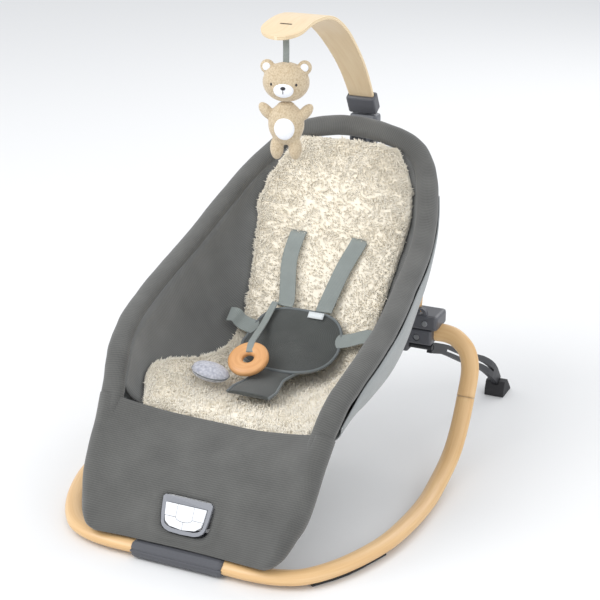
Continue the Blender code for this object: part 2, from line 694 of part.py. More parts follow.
def spread(count, power):
    """Places across a row, closer together towards the edges."""
    return [np.sign(t) * abs(sin(t)) ** power for t in np.linspace(-pi / 2, pi / 2, count)]


def station_lines():
    """The sling's stations as arrays: half width inside the band, the tube's y and z, the lowest y and z."""
    stations = np.array(SLING_STATIONS)
    tube = smooth(scaled(FRAME_UNDER_PANEL + FRAME_IN_RIM), per_span=8)
    clear = BAND_HALF_WIDTH + SLING_THICKNESS + 2 * GAP
    widths = []
    for share, *edge_and_low, _ in stations:
        width = share * SEAT_HALF_WIDTH
        edge, low = np.array(edge_and_low[:2]), np.array(edge_and_low[2:])
        while True:
            row = np.array(hang(width, edge, low, SLING_POWER, np.linspace(0, 1, 9)))
            if np.linalg.norm(tube[:, None] - row, axis=2).min() > clear:
                break
            width -= 0.0005
        widths.append(width)
    return np.array(widths), stations[:, 1:3], stations[:, 3:5], stations[:, 5]


def seat_sling():
    """The hammock of dark mesh inside the rim, which carries the child."""
    widths, tube, low, _ = station_lines()
    shares = spread(19, 0.8)
    rows = [hang(*row, SLING_POWER, shares) for row in zip(widths, tube, low)]
    thicken(piece("seat_sling", surface(rows), MESH_FABRIC), SLING_THICKNESS, -1, even=False)


def back_cover():
    """The lighter cover under the sling, which shows as a strip along the outside of the rim."""
    widths, tube, low, _ = station_lines()
    rim_x = np.array(SLING_STATIONS)[:, 0] * SEAT_HALF_WIDTH
    edges = tube + outward(tube) * 0.0080
    bottoms = low + outward(low) * (SLING_THICKNESS + COVER_GAP)
    shares = spread(17, 0.9)
    rows = [
        hang(x + BAND_HALF_WIDTH + 0.001, edge, bottom, COVER_POWER, shares)
        for x, edge, bottom in list(zip(rim_x, edges, bottoms))[:-2]
    ]
    thicken(piece("back_cover", surface(rows), LIGHT_FABRIC), COVER_THICKNESS, -1, even=False)


def plush_insert():
    """The thick plush liner that lies on the sling, narrow at the hips and wide at the head and the thighs."""
    widths, tube, low, covers = station_lines()
    rows = []
    away = outward(low)
    for width, edge, bottom, direction, cover in zip(widths, tube, low, away, covers):
        shares = [cover * share for share in spread(15, 1.0)]
        row = hang(width, edge, bottom, SLING_POWER, shares)
        rows.append([np.array(point) - np.array((0, *direction)) * PLUSH_GAP for point in row])
    thicken(piece("sherpa_insert", surface(rows), PLUSH), PLUSH_THICKNESS, 1, even=False)


def front_panel():
    """The mesh panel over the foot end. It wraps the frame tube at both sides and has the unit's opening."""
    rows = []
    for share, tube_y, tube_z, radius, out_y, out_z, mid_y, mid_z in PANEL_ROWS:
        width = share * SEAT_HALF_WIDTH
        out = np.array((out_y, out_z)) / np.hypot(out_y, out_z)
        tube, middle = np.array((tube_y, tube_z)), np.array((mid_y, mid_z))
        crest = tube + out * radius
        half = []
        for share_out in np.linspace(0, 1, 7):
            y, z = middle + (crest - middle) * share_out**2.6
            half.append((share_out * width, y, z))
        for turn in (30, 60, 90, 120, 145):
            y, z = tube + out * radius * cos(radians(turn))
            half.append((width + radius * sin(radians(turn)), y, z))
        rows.append(mirrored(half[1:])[::-1] + half)
    panel = thicken(piece("front_panel", surface(rows), MESH_FABRIC), PANEL_THICKNESS, -1)
    opening = shield(UNIT_WIDTH + 0.0024, UNIT_HEIGHT + 0.0024)
    cut(panel, outline_prism(opening, 0.04, unit_place() @ Matrix.Translation((0, 0, 0.02))))


# ---------------------------------------------------------------- harness


def shoulder_straps():
    """Two webbing straps from slots in the plush down to the top of the belly pad."""
    for name, slot_x, middle_x, pad_x in (("left", -0.049, -0.0515, -0.040), ("right", 0.0475, 0.0340, 0.023)):
        line = smooth(
            ((pad_x, 0.4175, 0.2110), (middle_x, 0.4500, 0.2555), (slot_x, 0.4700, 0.2880)),
            per_span=4,
        )
        webbing = piece(f"shoulder_strap_{name}", strip(line, (1, 0, 0), STRAP_WIDTH), WEBBING)
        thicken(webbing, STRAP_THICKNESS, 1)


def waist_belts():
    """A webbing belt from each side of the seat to the belly pad."""
    for name, side in SIDES:
        pad_edge = PAD_SHIFT + side * PAD_HALF_WIDTH
        inner, outer = pad_edge + side * 0.0015, side * 0.100
        line = smooth(
            ((inner, 0.3765, 0.1775), ((inner + outer) / 2, 0.3750, 0.1830), (outer, 0.3730, 0.1920)),
            per_span=3,
        )
        webbing = piece(f"waist_belt_{name}", strip(line, (0, 0.86, 0.51), STRAP_WIDTH), WEBBING)
        thicken(webbing, STRAP_THICKNESS, side)


def belly_pad():
    """The padded shield on the child's belly, narrowing to the crotch strap."""
    # The middle line's y and z, with the pad's half width there as a share of its widest
    line = (
        (0.44, 0.2200, 0.1480),
        (0.42, 0.2440, 0.1470),
        (0.30, 0.2740, 0.1465),
        (0.46, 0.2950, 0.1485),
        (0.82, 0.3200, 0.1530),
        (0.97, 0.3500, 0.1630),
        (1.00, 0.3760, 0.1740),
        (0.92, 0.3955, 0.1885),
        (0.62, 0.4110, 0.2025),
    )
    rows = []
    for share, y, z in smooth(line, per_span=2):
        half = share * PAD_HALF_WIDTH
        rows.append([(PAD_SHIFT + across * half, y, z) for across in np.linspace(-1, 1, 9)])
    thicken(piece("belly_pad", surface(rows), MESH_FABRIC), PAD_TOP_THICKNESS, 0)


def care_tag():
    """A small blank white tag sewn into the top edge of the belly pad."""
    turn = Matrix.Rotation(radians(41), 4, "X")
    piece("care_tag", block((0.024, 0.009, 0.0008), (0.0165, 0.4080, 0.2125), turn), WHITE_PLASTIC)


def buckle():
    """The buckle that the straps meet at, hidden under the belly pad."""
    turn = Matrix.Rotation(radians(24), 4, "X")
    piece("buckle", block((0.040, 0.030, 0.005), (0, 0.3680, 0.1605), turn, bevel=0.0015), BLACK_METAL)


# ---------------------------------------------------------------- control unit


def unit_turn():
    return Matrix.Rotation(pi / 2 - UNIT_LEAN, 4, "X")


def unit_place():
    """The control unit's own frame: x across, y up its face and z out of the face."""
    return Matrix.Translation((0, UNIT_Y, UNIT_Z)) @ unit_turn()


def shield(width, height, corner=0.003, taper=0.90, steps=5):
    """The unit's outline: straight top, sides that draw in a little, and a full round bottom edge."""
    half, top, bottom = width / 2, height / 2, -height / 2
    right = [(half - corner, top), (half, top - corner), (half * (1 + taper) / 2, 0)]
    for i in range(1, steps + 1):
        turn = i / steps * pi / 2
        right.append((half * taper * cos(turn) ** 0.5, bottom * 0.35 + bottom * 0.65 * sin(turn)))
    left = [(-x, y) for x, y in right[:-1]]
    return right + left[::-1]


def key_outlines():
    """The five keys: two above at the sides, a rounded one in the middle, and two below."""
    half, top = KEYS_WIDTH / 2, KEYS_HEIGHT / 2
    middle, split, tongue_depth = 0.0115, -0.001, 0.0045
    gap = KEY_GAP / 2
    tongue = [(middle * cos(t), split + tongue_depth * sin(t)) for t in np.linspace(-pi, 0, 7)]
    reach, depth = middle + KEY_GAP, tongue_depth + KEY_GAP
    hollow = [(max(reach * cos(t), gap), split + depth * sin(t)) for t in np.linspace(-pi / 2, -0.05, 4)]
    lower = [(half * 0.94, split - gap), (half * 0.88, -top * 0.50), (half * 0.62, -top * 0.86), (gap, -top)]
    top_right = [(reach, top), (reach, split + gap), (half * 0.95, split + gap), (half, top)]
    bottom_right = hollow + lower
    return {
        "button_top_left": [(-x, y) for x, y in top_right],
        "button_top_middle": [(-middle, top), *tongue, (middle, top)],
        "button_top_right": top_right,
        "button_bottom_left": [(-x, y) for x, y in bottom_right],
        "button_bottom_right": bottom_right,
    }


def control_unit():
    """A housing behind the panel with a bezel and five keys in front, a motor inside and a battery door."""
    place = unit_place()
    face = place @ Matrix.Translation((0, 0, 0.003))
    behind = place @ Matrix.Translation((0, TRAY_RISE, -0.0014))
    bezel = piece("control_bezel", outline_prism(shield(UNIT_WIDTH, UNIT_HEIGHT), BEZEL_THICKNESS, face), GREY_PLASTIC)
    window = shield(KEYS_WIDTH + 2 * KEY_GAP, KEYS_HEIGHT + 2 * KEY_GAP, corner=0.0002, taper=0.95)
    keys = face @ Matrix.Translation((0, -0.0018, 0))
    cut(bezel, outline_prism(window, 0.03, keys @ Matrix.Translation((0, 0, 0.01))))
    housing = piece("control_housing", outline_prism(shield(TRAY_WIDTH, TRAY_HEIGHT), UNIT_DEPTH, behind), DARK_PLASTIC)
    cavity = shield(TRAY_WIDTH - 2 * UNIT_WALL, TRAY_HEIGHT - 2 * UNIT_WALL)
    cut(housing, outline_prism(cavity, UNIT_DEPTH - UNIT_WALL + 0.01, behind @ Matrix.Translation((0, 0, 0.01))))
    door_width, door_height = 0.036, 0.018
    back = behind @ Matrix.Translation((0, 0.001, -UNIT_DEPTH))
    hole = (door_width + 2 * GAP, door_height + 2 * GAP, 0.012)
    cut(housing, block(hole, back.translation, unit_turn()))
    door = block((door_width, door_height, UNIT_WALL), back @ Vector((0, 0, UNIT_WALL / 2)), unit_turn())
    piece("battery_door", door, DARK_PLASTIC)
    for name, outline in key_outlines().items():
        centre = Vector((*np.mean(outline, axis=0), 0))
        front = keys @ Matrix.Translation((0, 0, KEY_PROUD))
        pivot = empty(f"{name}_slide", front @ centre, origin)
        piece(name, outline_prism(outline, KEY_THICKNESS, front), WHITE_PLASTIC, pivot)
    motor_at = behind @ Matrix.Translation((-0.006, 0.001, -0.0155))
    motor = rod(motor_at @ Vector((-0.012, 0, 0)), motor_at @ Vector((0.010, 0, 0)), 0.0075)
    body = piece("vibration_motor", motor, STEEL)
    join(body, rod(motor_at @ Vector((0.008, 0, 0)), motor_at @ Vector((0.0215, 0, 0)), 0.0012, sides=12))
    axis = empty("motor_weight_axis", motor_at @ Vector((0.016, 0, 0)), origin)
    disc = rod(motor_at @ Vector((0.0125, 0, 0)), motor_at @ Vector((0.0195, 0, 0)), 0.0065)
    weight = piece("motor_weight", disc, STEEL, axis)
    cut(weight, rod(motor_at @ Vector((0.01, 0, 0)), motor_at @ Vector((0.03, 0, 0)), 0.0016, sides=12))
    cut(weight, block((0.02, 0.02, 0.0065), motor_at @ Vector((0.016, 0, 0.0053)), unit_turn()))


# ---------------------------------------------------------------- toy bar


def bar_points():
    return [(0, BAR_BASE_Y - forward, BAR_BASE_Z + up) for forward, up in BAR_LINE]


def toy_bar():
    """A swivelling strip of bent plywood over the seat, wider towards its round end, in a socket on the rim."""
    body = block((0.044, 0.024, 0.046), (0, SWIVEL_Y + 0.001, SWIVEL_Z - 0.023), bevel=0.005)
    bracket = piece("toy_bar_bracket", body, GREY_PLASTIC)
    join(bracket, block((0.026, 0.020, 0.016), (0, SWIVEL_Y - 0.016, SWIVEL_Z - 0.036), bevel=0.003))
    join(bracket, rod((0, SWIVEL_Y, SWIVEL_Z - 0.01), (0, SWIVEL_Y, SWIVEL_Z + 0.008), 0.0065))
    clearance = sweep(rim_line()[18:-18], oval=section("bracket_clearance", BAND_HALF_WIDTH + 0.0006, BAND_HALF_THICKNESS + 0.0006))
    cut(bracket, clearance)
    pivot = empty("toy_bar_swivel", (0, SWIVEL_Y, SWIVEL_Z), origin)
    line = smooth(bar_points(), per_span=4)
    travel = np.r_[0, np.cumsum(np.linalg.norm(np.diff(line, axis=0), axis=1))]
    widths = BAR_ROOT_WIDTH + (BAR_END_WIDTH - BAR_ROOT_WIDTH) * np.clip(travel / (travel[-1] * 0.75), 0, 1) ** 1.3
    nose = BAR_END_WIDTH / 2
    from_end = np.clip(1 - (travel[-1] - travel) / nose, 0, 1)
    rounding = np.sqrt(np.clip(1 - from_end**2.4, 0.02, 1))
    bar = piece("toy_bar", strip(line, (1, 0, 0), widths * rounding), BENT_WOOD, pivot)
    thicken(bar, BAR_THICKNESS, 0)
    slot_at = (0, BAR_BASE_Y - SLOT_AT[0], BAR_BASE_Z + SLOT_AT[1])
    cut(bar, block((0.017, 0.004, 0.03), slot_at))
    start, end = Vector(line[0]), Vector(line[4])
    along = (end - start).normalized()
    turn = along.to_track_quat("Z", "X").to_matrix().to_4x4()
    upright = Matrix.Rotation(pi / 2, 4, "Z")
    socket_turn = turn @ upright
    middle = start + along * 0.002
    socket = piece("toy_bar_socket", block((0.045, 0.019, 0.030), middle, socket_turn, bevel=0.003), DARK_PLASTIC, pivot)
    join(socket, rod((0, SWIVEL_Y, SWIVEL_Z + RUN), (0, SWIVEL_Y, SWIVEL_Z + 0.016), 0.011))
    cut(socket, rod((0, SWIVEL_Y, SWIVEL_Z - 0.01), (0, SWIVEL_Y, SWIVEL_Z + 0.008 + GAP), 0.0065 + RUN))
    slot = block((BAR_ROOT_WIDTH + 0.0025, BAR_THICKNESS + 0.0014, 0.06), start + along * (0.03 - GAP), socket_turn)
    cut(socket, slot)


def bear():
    """The plush bear that swings on a ribbon under the toy bar's slot."""
    top = BAR_BASE_Z + SLOT_AT[1] - BAR_THICKNESS / 2 - 0.0020
    y = BAR_BASE_Y - SLOT_AT[0]
    pivot = empty("bear_swing", (0, y, top), origin)
    ribbon = strip([(0, y, top - 0.0002), (0, y, top - RIBBON_LENGTH)], (1, 0, 0), RIBBON_WIDTH)
    thicken(piece("toy_ribbon", ribbon, WEBBING, pivot), STRAP_THICKNESS, 0)
    face = Matrix.Rotation(radians(15), 4, "Z")
    head_half, trunk_half = 0.027, 0.0325
    head_z = top - RIBBON_LENGTH - GAP - head_half
    spot = Matrix.Translation((0, y, head_z)) @ face
    head = piece("bear_head", ball((0.032, 0.023, head_half), spot.translation, face), BEAR_PLUSH, pivot)
    for side in (-1, 1):
        join(head, ball((0.0100, 0.006, 0.0100), spot @ Vector((side * 0.0250, 0, 0.0205)), face, 12, 8))
    trunk = Matrix.Translation((0, y, head_z - head_half - trunk_half - GAP)) @ face
    body = piece("bear_body", ball((0.0255, 0.0185, trunk_half), trunk.translation, face), BEAR_PLUSH, pivot)
    for side in (-1, 1):
        arm = face @ Matrix.Rotation(radians(side * 40), 4, "Y")
        join(body, ball((0.0080, 0.0075, 0.014), trunk @ Vector((side * 0.0265, -0.002, 0.020)), arm, 12, 8))
        join(body, ball((0.0095, 0.009, 0.0165), trunk @ Vector((side * 0.0125, -0.002, -0.0300)), face, 12, 8))


def belly_toy():
    """A ring and a soft leaf on a strap, looped to the belly pad's left corner; they lie on the pad."""
    loop = (PAD_SHIFT - 0.046, 0.4030, 0.2060)
    pivot = empty("belly_toy_swing", loop, origin)
    line = smooth((loop, (loop[0] - 0.003, 0.3740, 0.1880), (loop[0] + 0.006, 0.3240, 0.1850)), per_span=3)
    thicken(piece("toy_strap", strip(line, (1, 0, 0), 0.011), WEBBING, pivot), STRAP_THICKNESS, 1)
    lean = Matrix.Rotation(radians(28), 4, "X")
    ring_at = Matrix.Translation((-0.0380, 0.2860, 0.1680)) @ lean
    ring = bmesh.new()
    rounds, sides = 24, 10
    bar = (RING_OUTER_RADIUS - RING_HOLE_RADIUS) / 2
    rows = []
    for i in range(rounds + 1):
        turn = 2 * pi * i / rounds
        row = []
        for t in np.linspace(0, 2 * pi, sides + 1):
            out = RING_HOLE_RADIUS + bar * (1 + cos(t))
            row.append((out * cos(turn), out * sin(turn), RING_THICKNESS / 2 * sin(t)))
        rows.append(row)
    ring.from_mesh(surface(rows))
    bmesh.ops.remove_doubles(ring, verts=ring.verts, dist=1e-6)
    bmesh.ops.transform(ring, matrix=ring_at, verts=ring.verts)
    piece("wooden_ring", mesh_of(ring), RING_WOOD, pivot)
    leaf_turn = Matrix.Rotation(radians(14), 4, "Z") @ Matrix.Rotation(radians(14), 4, "Y")
    leaf = ball((0.0260, 0.0225, 0.0115), (-0.0765, 0.2450, 0.1585), leaf_turn)
    piece("leaf_toy", leaf, TOY_FABRIC, pivot)


# ---------------------------------------------------------------- assembly

for thing in list(bpy.data.objects):
    bpy.data.objects.remove(thing)
parts = bpy.data.collections.new(COLLECTION)
cutters = bpy.data.collections.new("cutters")
cutters.hide_render = True
for group in (parts, cutters):
    bpy.context.scene.collection.children.link(group)
CENTRE_Y = (FOOT_END_Y + SLEEVE_Y - TUBE_WIDTH / 2 - SLEEVE_WALL - RIB_PROUD) / 2
origin = empty("floor_origin", (0, -CENTRE_Y, 0))

front_sleeve()
runners()
rubber_pads()
hubs()
cross_tube()
kickstand()
frame_tube()
rim_band()
front_clamps()
seat_sling()
back_cover()
plush_insert()
front_panel()
seat_stays()
shoulder_straps()
waist_belts()
belly_pad()
care_tag()
buckle()
control_unit()
toy_bar()
bear()
belly_toy()
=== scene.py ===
from math import cos, pi, radians, sin

import bmesh
import bpy
import numpy as np
from mathutils import Matrix, Vector, noise


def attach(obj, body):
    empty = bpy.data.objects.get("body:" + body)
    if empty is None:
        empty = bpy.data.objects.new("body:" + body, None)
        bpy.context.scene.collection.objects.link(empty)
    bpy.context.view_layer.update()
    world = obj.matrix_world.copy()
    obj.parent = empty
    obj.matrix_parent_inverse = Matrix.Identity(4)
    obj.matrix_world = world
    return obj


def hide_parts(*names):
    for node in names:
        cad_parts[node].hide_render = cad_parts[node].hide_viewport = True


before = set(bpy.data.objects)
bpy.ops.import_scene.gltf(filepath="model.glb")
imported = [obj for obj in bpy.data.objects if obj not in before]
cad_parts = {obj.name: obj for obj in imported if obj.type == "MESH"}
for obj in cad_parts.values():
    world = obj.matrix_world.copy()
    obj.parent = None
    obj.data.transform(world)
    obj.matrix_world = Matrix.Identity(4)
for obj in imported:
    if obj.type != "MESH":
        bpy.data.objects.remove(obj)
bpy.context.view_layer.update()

# ---------------------------------------------------------------- studio
# A pale studio floor under soft light from the upper left, and a long lens at the height of an adult's hip.
# Sizes in this file are in metres, measured back from the front of the rocker and up from the floor.

FRONT_TO_MIDDLE = 0.3485
across, rise = radians(24.43541896), radians(21.18107351)
backward = Vector((sin(across) * cos(rise), -cos(across) * cos(rise), sin(rise)))
rightward = Vector((cos(across), sin(across), 0))
turn = Matrix((rightward, backward.cross(rightward), backward)).transposed().to_4x4()
camera = bpy.data.objects.new("camera", bpy.data.cameras.new("camera"))
camera.data.lens = 90
camera.data.sensor_width = 36
camera.matrix_world = Matrix.Translation((0.82311, -1.43526 - FRONT_TO_MIDDLE, 1.00187)) @ turn
bpy.context.scene.collection.objects.link(camera)
bpy.context.scene.camera = camera
bpy.context.scene.view_settings.view_transform = "Standard"


def light(name, place, aim, size, power):
    """A square softbox."""
    lamp = bpy.data.lights.new(name, "AREA")
    lamp.size, lamp.energy = size, power
    stand = bpy.data.objects.new(name, lamp)
    stand.location = place
    stand.rotation_euler = (Vector(aim) - Vector(place)).to_track_quat("-Z", "Y").to_euler()
    bpy.context.scene.collection.objects.link(stand)


light("key_softbox", (-1.6, -1.9, 2.6), (0, 0, 0.2), 2.2, 62)
light("fill_softbox", (2.6, -1.6, 1.6), (0, 0, 0.3), 2.4, 22)
light("rim_softbox", (0.6, 2.4, 2.2), (0, 0, 0.4), 1.8, 26)
sky = bpy.data.worlds.new("studio")
sky.use_nodes = True
sky.node_tree.nodes["Background"].inputs["Color"].default_value = (0.95, 0.97, 1, 1)
sky.node_tree.nodes["Background"].inputs["Strength"].default_value = 0.88
bpy.context.scene.world = sky
floor_mesh = bpy.data.meshes.new("studio_floor")
FLOOR_REACH, FLOOR_LEVEL = 9, -0.0004
floor_signs = ((-1, -1), (1, -1), (1, 1), (-1, 1))
floor_corners = [(x * FLOOR_REACH, y * FLOOR_REACH, FLOOR_LEVEL) for x, y in floor_signs]
floor_mesh.from_pydata(floor_corners, [], [(0, 1, 2, 3)])
studio_floor = bpy.data.objects.new("studio_floor", floor_mesh)
bpy.context.scene.collection.objects.link(studio_floor)

# ---------------------------------------------------------------- materials and surfaces
# Each finish is built from noise and waves. A surface through rows of points carries its cloth measure, in
# metres, as its UV, so that weaves and grain follow the piece.


class Value:
    """A number or colour inside a material. Arithmetic on it adds Math nodes."""

    def __init__(self, tree, socket):
        self.tree, self.socket = tree, socket

    def feed(self, slot, value):
        if isinstance(value, Value):
            self.tree.links.new(value.socket, slot)
        else:
            slot.default_value = value

    def math(self, operation, first, second):
        node = self.tree.nodes.new("ShaderNodeMath")
        node.operation = operation
        self.feed(node.inputs[0], first)
        self.feed(node.inputs[1], second)
        return Value(self.tree, node.outputs[0])

    def __add__(self, other):
        return self.math("ADD", self, other)

    def __radd__(self, other):
        return self.math("ADD", other, self)

    def __sub__(self, other):
        return self.math("SUBTRACT", self, other)

    def __rsub__(self, other):
        return self.math("SUBTRACT", other, self)

    def __mul__(self, other):
        return self.math("MULTIPLY", self, other)

    def __rmul__(self, other):
        return self.math("MULTIPLY", other, self)


class Finish:
    """A Principled material under construction."""

    def __init__(self, name, roughness=0.6, metallic=0.0, **fixed):
        self.material = bpy.data.materials.new(name)
        self.material.use_nodes = True
        self.tree = self.material.node_tree
        self.shader = self.tree.nodes["Principled BSDF"]
        self.set("Roughness", roughness)
        self.set("Metallic", metallic)
        for key, value in fixed.items():
            self.set(key.replace("_", " "), value)

    def set(self, name, value):
        Value(self.tree, None).feed(self.shader.inputs[name], value)

    def node(self, kind, settings=None, output=0, **inputs):
        """A node of this type, its settings set first, then its sockets by name; spaces are written as _."""
        node = self.tree.nodes.new(kind)
        for key, value in (settings or {}).items():
            setattr(node, key, value)
        for key, value in inputs.items():
            Value(self.tree, None).feed(node.inputs[key.replace("_", " ")], value)
        return Value(self.tree, node.outputs[output])

    def cloth_place(self):
        """The place on the cloth in metres, as its two numbers."""
        at = self.node("ShaderNodeUVMap")
        split = self.tree.nodes.new("ShaderNodeSeparateXYZ")
        self.tree.links.new(at.socket, split.inputs[0])
        return Value(self.tree, split.outputs[0]), Value(self.tree, split.outputs[1])

    def place(self):
        return self.node("ShaderNodeTexCoord", output=3)

    def wave(self, value):
        node = self.tree.nodes.new("ShaderNodeMath")
        node.operation = "SINE"
        Value(self.tree, None).feed(node.inputs[0], value)
        return Value(self.tree, node.outputs[0])

    def speckle(self, scale, detail=2.0, at=None):
        at = at or self.place()
        return self.node("ShaderNodeTexNoise", Vector=at, Scale=scale, Detail=detail)

    def between(self, share, first, second):
        """One colour turning into another."""
        node = self.tree.nodes.new("ShaderNodeMix")
        node.data_type = "RGBA"
        for slot, value in ((node.inputs[0], share), (node.inputs[6], first), (node.inputs[7], second)):
            Value(self.tree, None).feed(slot, value)
        return Value(self.tree, node.outputs[2])

    def relief(self, height, depth, strength=1.0):
        self.set("Normal", self.node("ShaderNodeBump", Height=height, Distance=depth, Strength=strength))


def tint(red, green, blue):
    """A colour as it is seen, in 0 to 255, for a shader's socket."""
    return (*((c / 255) ** 2.2 for c in (red, green, blue)), 1.0)


def grain_finish(name, light_wood, dark_wood, roughness=0.42, line=1.0):
    wood = Finish(name, roughness, Coat_Weight=0.25, Coat_Roughness=0.25)
    along, around = wood.cloth_place()
    at = wood.node("ShaderNodeCombineXYZ", X=along * (9 * line), Y=around * 190)
    figure = wood.node("ShaderNodeTexNoise", Vector=at, Scale=1.0, Detail=4.0, Distortion=0.6)
    fine_at = wood.node("ShaderNodeCombineXYZ", X=along * 30, Y=around * 900)
    fine = wood.node("ShaderNodeTexNoise", Vector=fine_at, Scale=1.0, Detail=2.0)
    share = (figure * 1.5 - 0.3) * 0.75 + fine * 0.3
    wood.set("Base Color", wood.between(share, light_wood, dark_wood))
    wood.relief(figure + fine * 0.4, 0.0001, 0.4)
    return wood.material


def placed(points):
    """Points measured from the front, moved to the frame's own middle."""
    return np.array(points, float) - (0, FRONT_TO_MIDDLE, 0)


def bulged(value, power):
    """A sine or cosine made fuller, under 1, or leaner, over 1, with its sign kept."""
    return np.sign(value) * np.abs(value) ** power


def smooth(points, per_span=4):
    """Points on the smooth curve that runs through the given ones."""
    known = np.array(points, float)
    count = len(known)
    curve = []
    for i in range(count - 1):
        here, there = known[i], known[i + 1]
        before = known[i - 1] if i else 2 * here - there
        after = known[i + 2] if i + 2 < count else 2 * there - here
        for t in np.arange(per_span) / per_span:
            bend = 2 * before - 5 * here + 4 * there - after + t * (3 * here - before - 3 * there + after)
            curve.append(here + t / 2 * (there - before + t * bend))
    curve.append(known[-1])
    return np.array(curve)


def skin(name, rows, look, body, ring=False, caps=False):
    """A smooth surface through rows of points, with its cloth measure as UV. A ring's rows are closed."""
    rows = np.array(rows, float)
    down, wide = rows.shape[:2]
    if ring:
        rows = np.concatenate([rows, rows[:, :1]], axis=1)
    steps_down = np.r_[0, np.cumsum(np.linalg.norm(np.diff(rows, axis=0), axis=2).mean(1))]
    steps_wide = np.concatenate(
        [np.zeros((down, 1)), np.cumsum(np.linalg.norm(np.diff(rows, axis=1), axis=2), axis=1)], axis=1
    )
    build = bmesh.new()
    measure = build.loops.layers.uv.new("UVMap")
    grid = [[build.verts.new(point) for point in row[:wide]] for row in rows]
    spans = wide if ring else wide - 1
    for i in range(down - 1):
        for j in range(spans):
            corners = ((i, j), (i, j + 1), (i + 1, j + 1), (i + 1, j))
            face = build.faces.new([grid[a][b % wide] for a, b in corners])
            face.smooth = True
            for loop, (a, b) in zip(face.loops, corners):
                loop[measure].uv = (steps_down[a], steps_wide[a][b])
    if caps:
        build.faces.new(grid[0][::-1])
        build.faces.new(grid[-1])
    bmesh.ops.remove_doubles(build, verts=build.verts, dist=1e-6)
    bmesh.ops.recalc_face_normals(build, faces=build.faces)
    mesh = bpy.data.meshes.new(name)
    build.to_mesh(mesh)
    build.free()
    mesh.materials.append(look)
    made = bpy.data.objects.new(name, mesh)
    bpy.context.scene.collection.objects.link(made)
    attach(made, body)
    return made


def tube_rows(points, half_wide, half_high, sides=20, level=None, power=1.0):
    """Rings round a line that twist as little as they can. level is the wide axis at the start."""
    points = np.array(points, float)
    ahead = np.gradient(points, axis=0)
    ahead /= np.linalg.norm(ahead, axis=1)[:, None]
    wide_axis = np.array(level if level is not None else np.cross(ahead[0], (0, 0, 1.0)), float)
    half_wide = np.broadcast_to(half_wide, len(points))
    half_high = np.broadcast_to(half_high, len(points))
    turns = np.arange(sides) / sides * 2 * pi
    c, s = bulged(np.cos(turns), power), bulged(np.sin(turns), power)
    rows = []
    for point, tangent, w, h in zip(points, ahead, half_wide, half_high):
        wide_axis = wide_axis - tangent * (wide_axis @ tangent)
        wide_axis /= np.linalg.norm(wide_axis)
        high_axis = np.cross(tangent, wide_axis)
        rows.append(point + np.outer(c * w, wide_axis) + np.outer(s * h, high_axis))
    return rows


SIDES = (("left", -1), ("right", 1))

# ---------------------------------------------------------------- rocker tubes
# Oval steel tube with a printed wood-grain film under clear lacquer, bent in two lengths on each side.
# The grain runs along the tube, and a hair-line joint shows where the lengths plug together.

RUNNER_X = 0.2365
TUBE_HALF_WIDE, TUBE_HALF_HIGH = 0.0130, 0.0090
JOINT_GAP = 0.0003
POINTS_PER_SPAN = 8
# How far inside the runner's straight line, how far back and how high
RUNNER_FRONT = (
    (0.0955, 0.0165, 0.0125),
    (0.0675, 0.0340, 0.0125),
    (0.0375, 0.0775, 0.0125),
    (0.0130, 0.1405, 0.0125),
    (0.0030, 0.2010, 0.0125),
    (0.0000, 0.2620, 0.0127),
    (0.0000, 0.3060, 0.0185),
    (0.0000, 0.3640, 0.0365),
    (0.0000, 0.3980, 0.0640),
)
RUNNER_REAR = (
    (0.0000, 0.4240, 0.1040),
    (0.0004, 0.4400, 0.1400),
    (0.0085, 0.4480, 0.1640),
    (0.0260, 0.4540, 0.1780),
    (0.0420, 0.4560, 0.1822),
)
tube_film = grain_finish("wood_film", tint(232, 196, 146), tint(205, 160, 104))
start = [(x, 0.0095, 0.0125) for x in (0.0003, 0.055, 0.105)]
front_part = start + [(RUNNER_X - inside, y, z) for inside, y, z in RUNNER_FRONT]
rear_part = [(RUNNER_X - inside, y, z) for inside, y, z in RUNNER_REAR]
rear_part += [(0.179, 0.456, 0.1825), (0.158, 0.456, 0.1825)]
runner = smooth(front_part + rear_part, POINTS_PER_SPAN)
joint_at = len(front_part) * POINTS_PER_SPAN
for side_name, side in SIDES:
    whole = placed(runner * (side, 1, 1))
    rings = np.array(tube_rows(whole, TUBE_HALF_WIDE, TUBE_HALF_HIGH, 24, level=(0, 1, 0)))
    seam = whole[joint_at + 1] - whole[joint_at - 1]
    seam = seam / np.linalg.norm(seam)
    first, second = rings[: joint_at + 1].copy(), rings[joint_at:].copy()
    first[-1] -= seam * JOINT_GAP
    second[0] += seam * JOINT_GAP
    low = skin(f"runner_front_{side_name}", first, tube_film, "frame", ring=True, caps=True)
    high = skin(f"runner_rear_{side_name}", second, tube_film, "frame", ring=True, caps=True)
    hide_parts(f"rocker_front_{side_name}")
    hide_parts(f"rocker_rear_{side_name}")

# ---------------------------------------------------------------- hubs, sleeve, stand and other hard parts
# Moulded dark nylon with a fine spark-eroded texture, black powder-coated steel in the stand, rubber feet.
# Their edges carry the small radius that moulds and powder coat leave.


def moulded(name, colour, roughness=0.45, grain=900.0, **fixed):
    plastic = Finish(name, roughness, **fixed)
    fine = plastic.speckle(grain)
    broad = plastic.speckle(14.0)
    plastic.set("Base Color", plastic.between(broad, tuple(c * 0.9 for c in colour[:3]) + (1,), colour))
    plastic.set("Roughness", broad * 0.12 + (roughness - 0.06))
    plastic.relief(fine, 0.00012, 0.35)
    return plastic.material


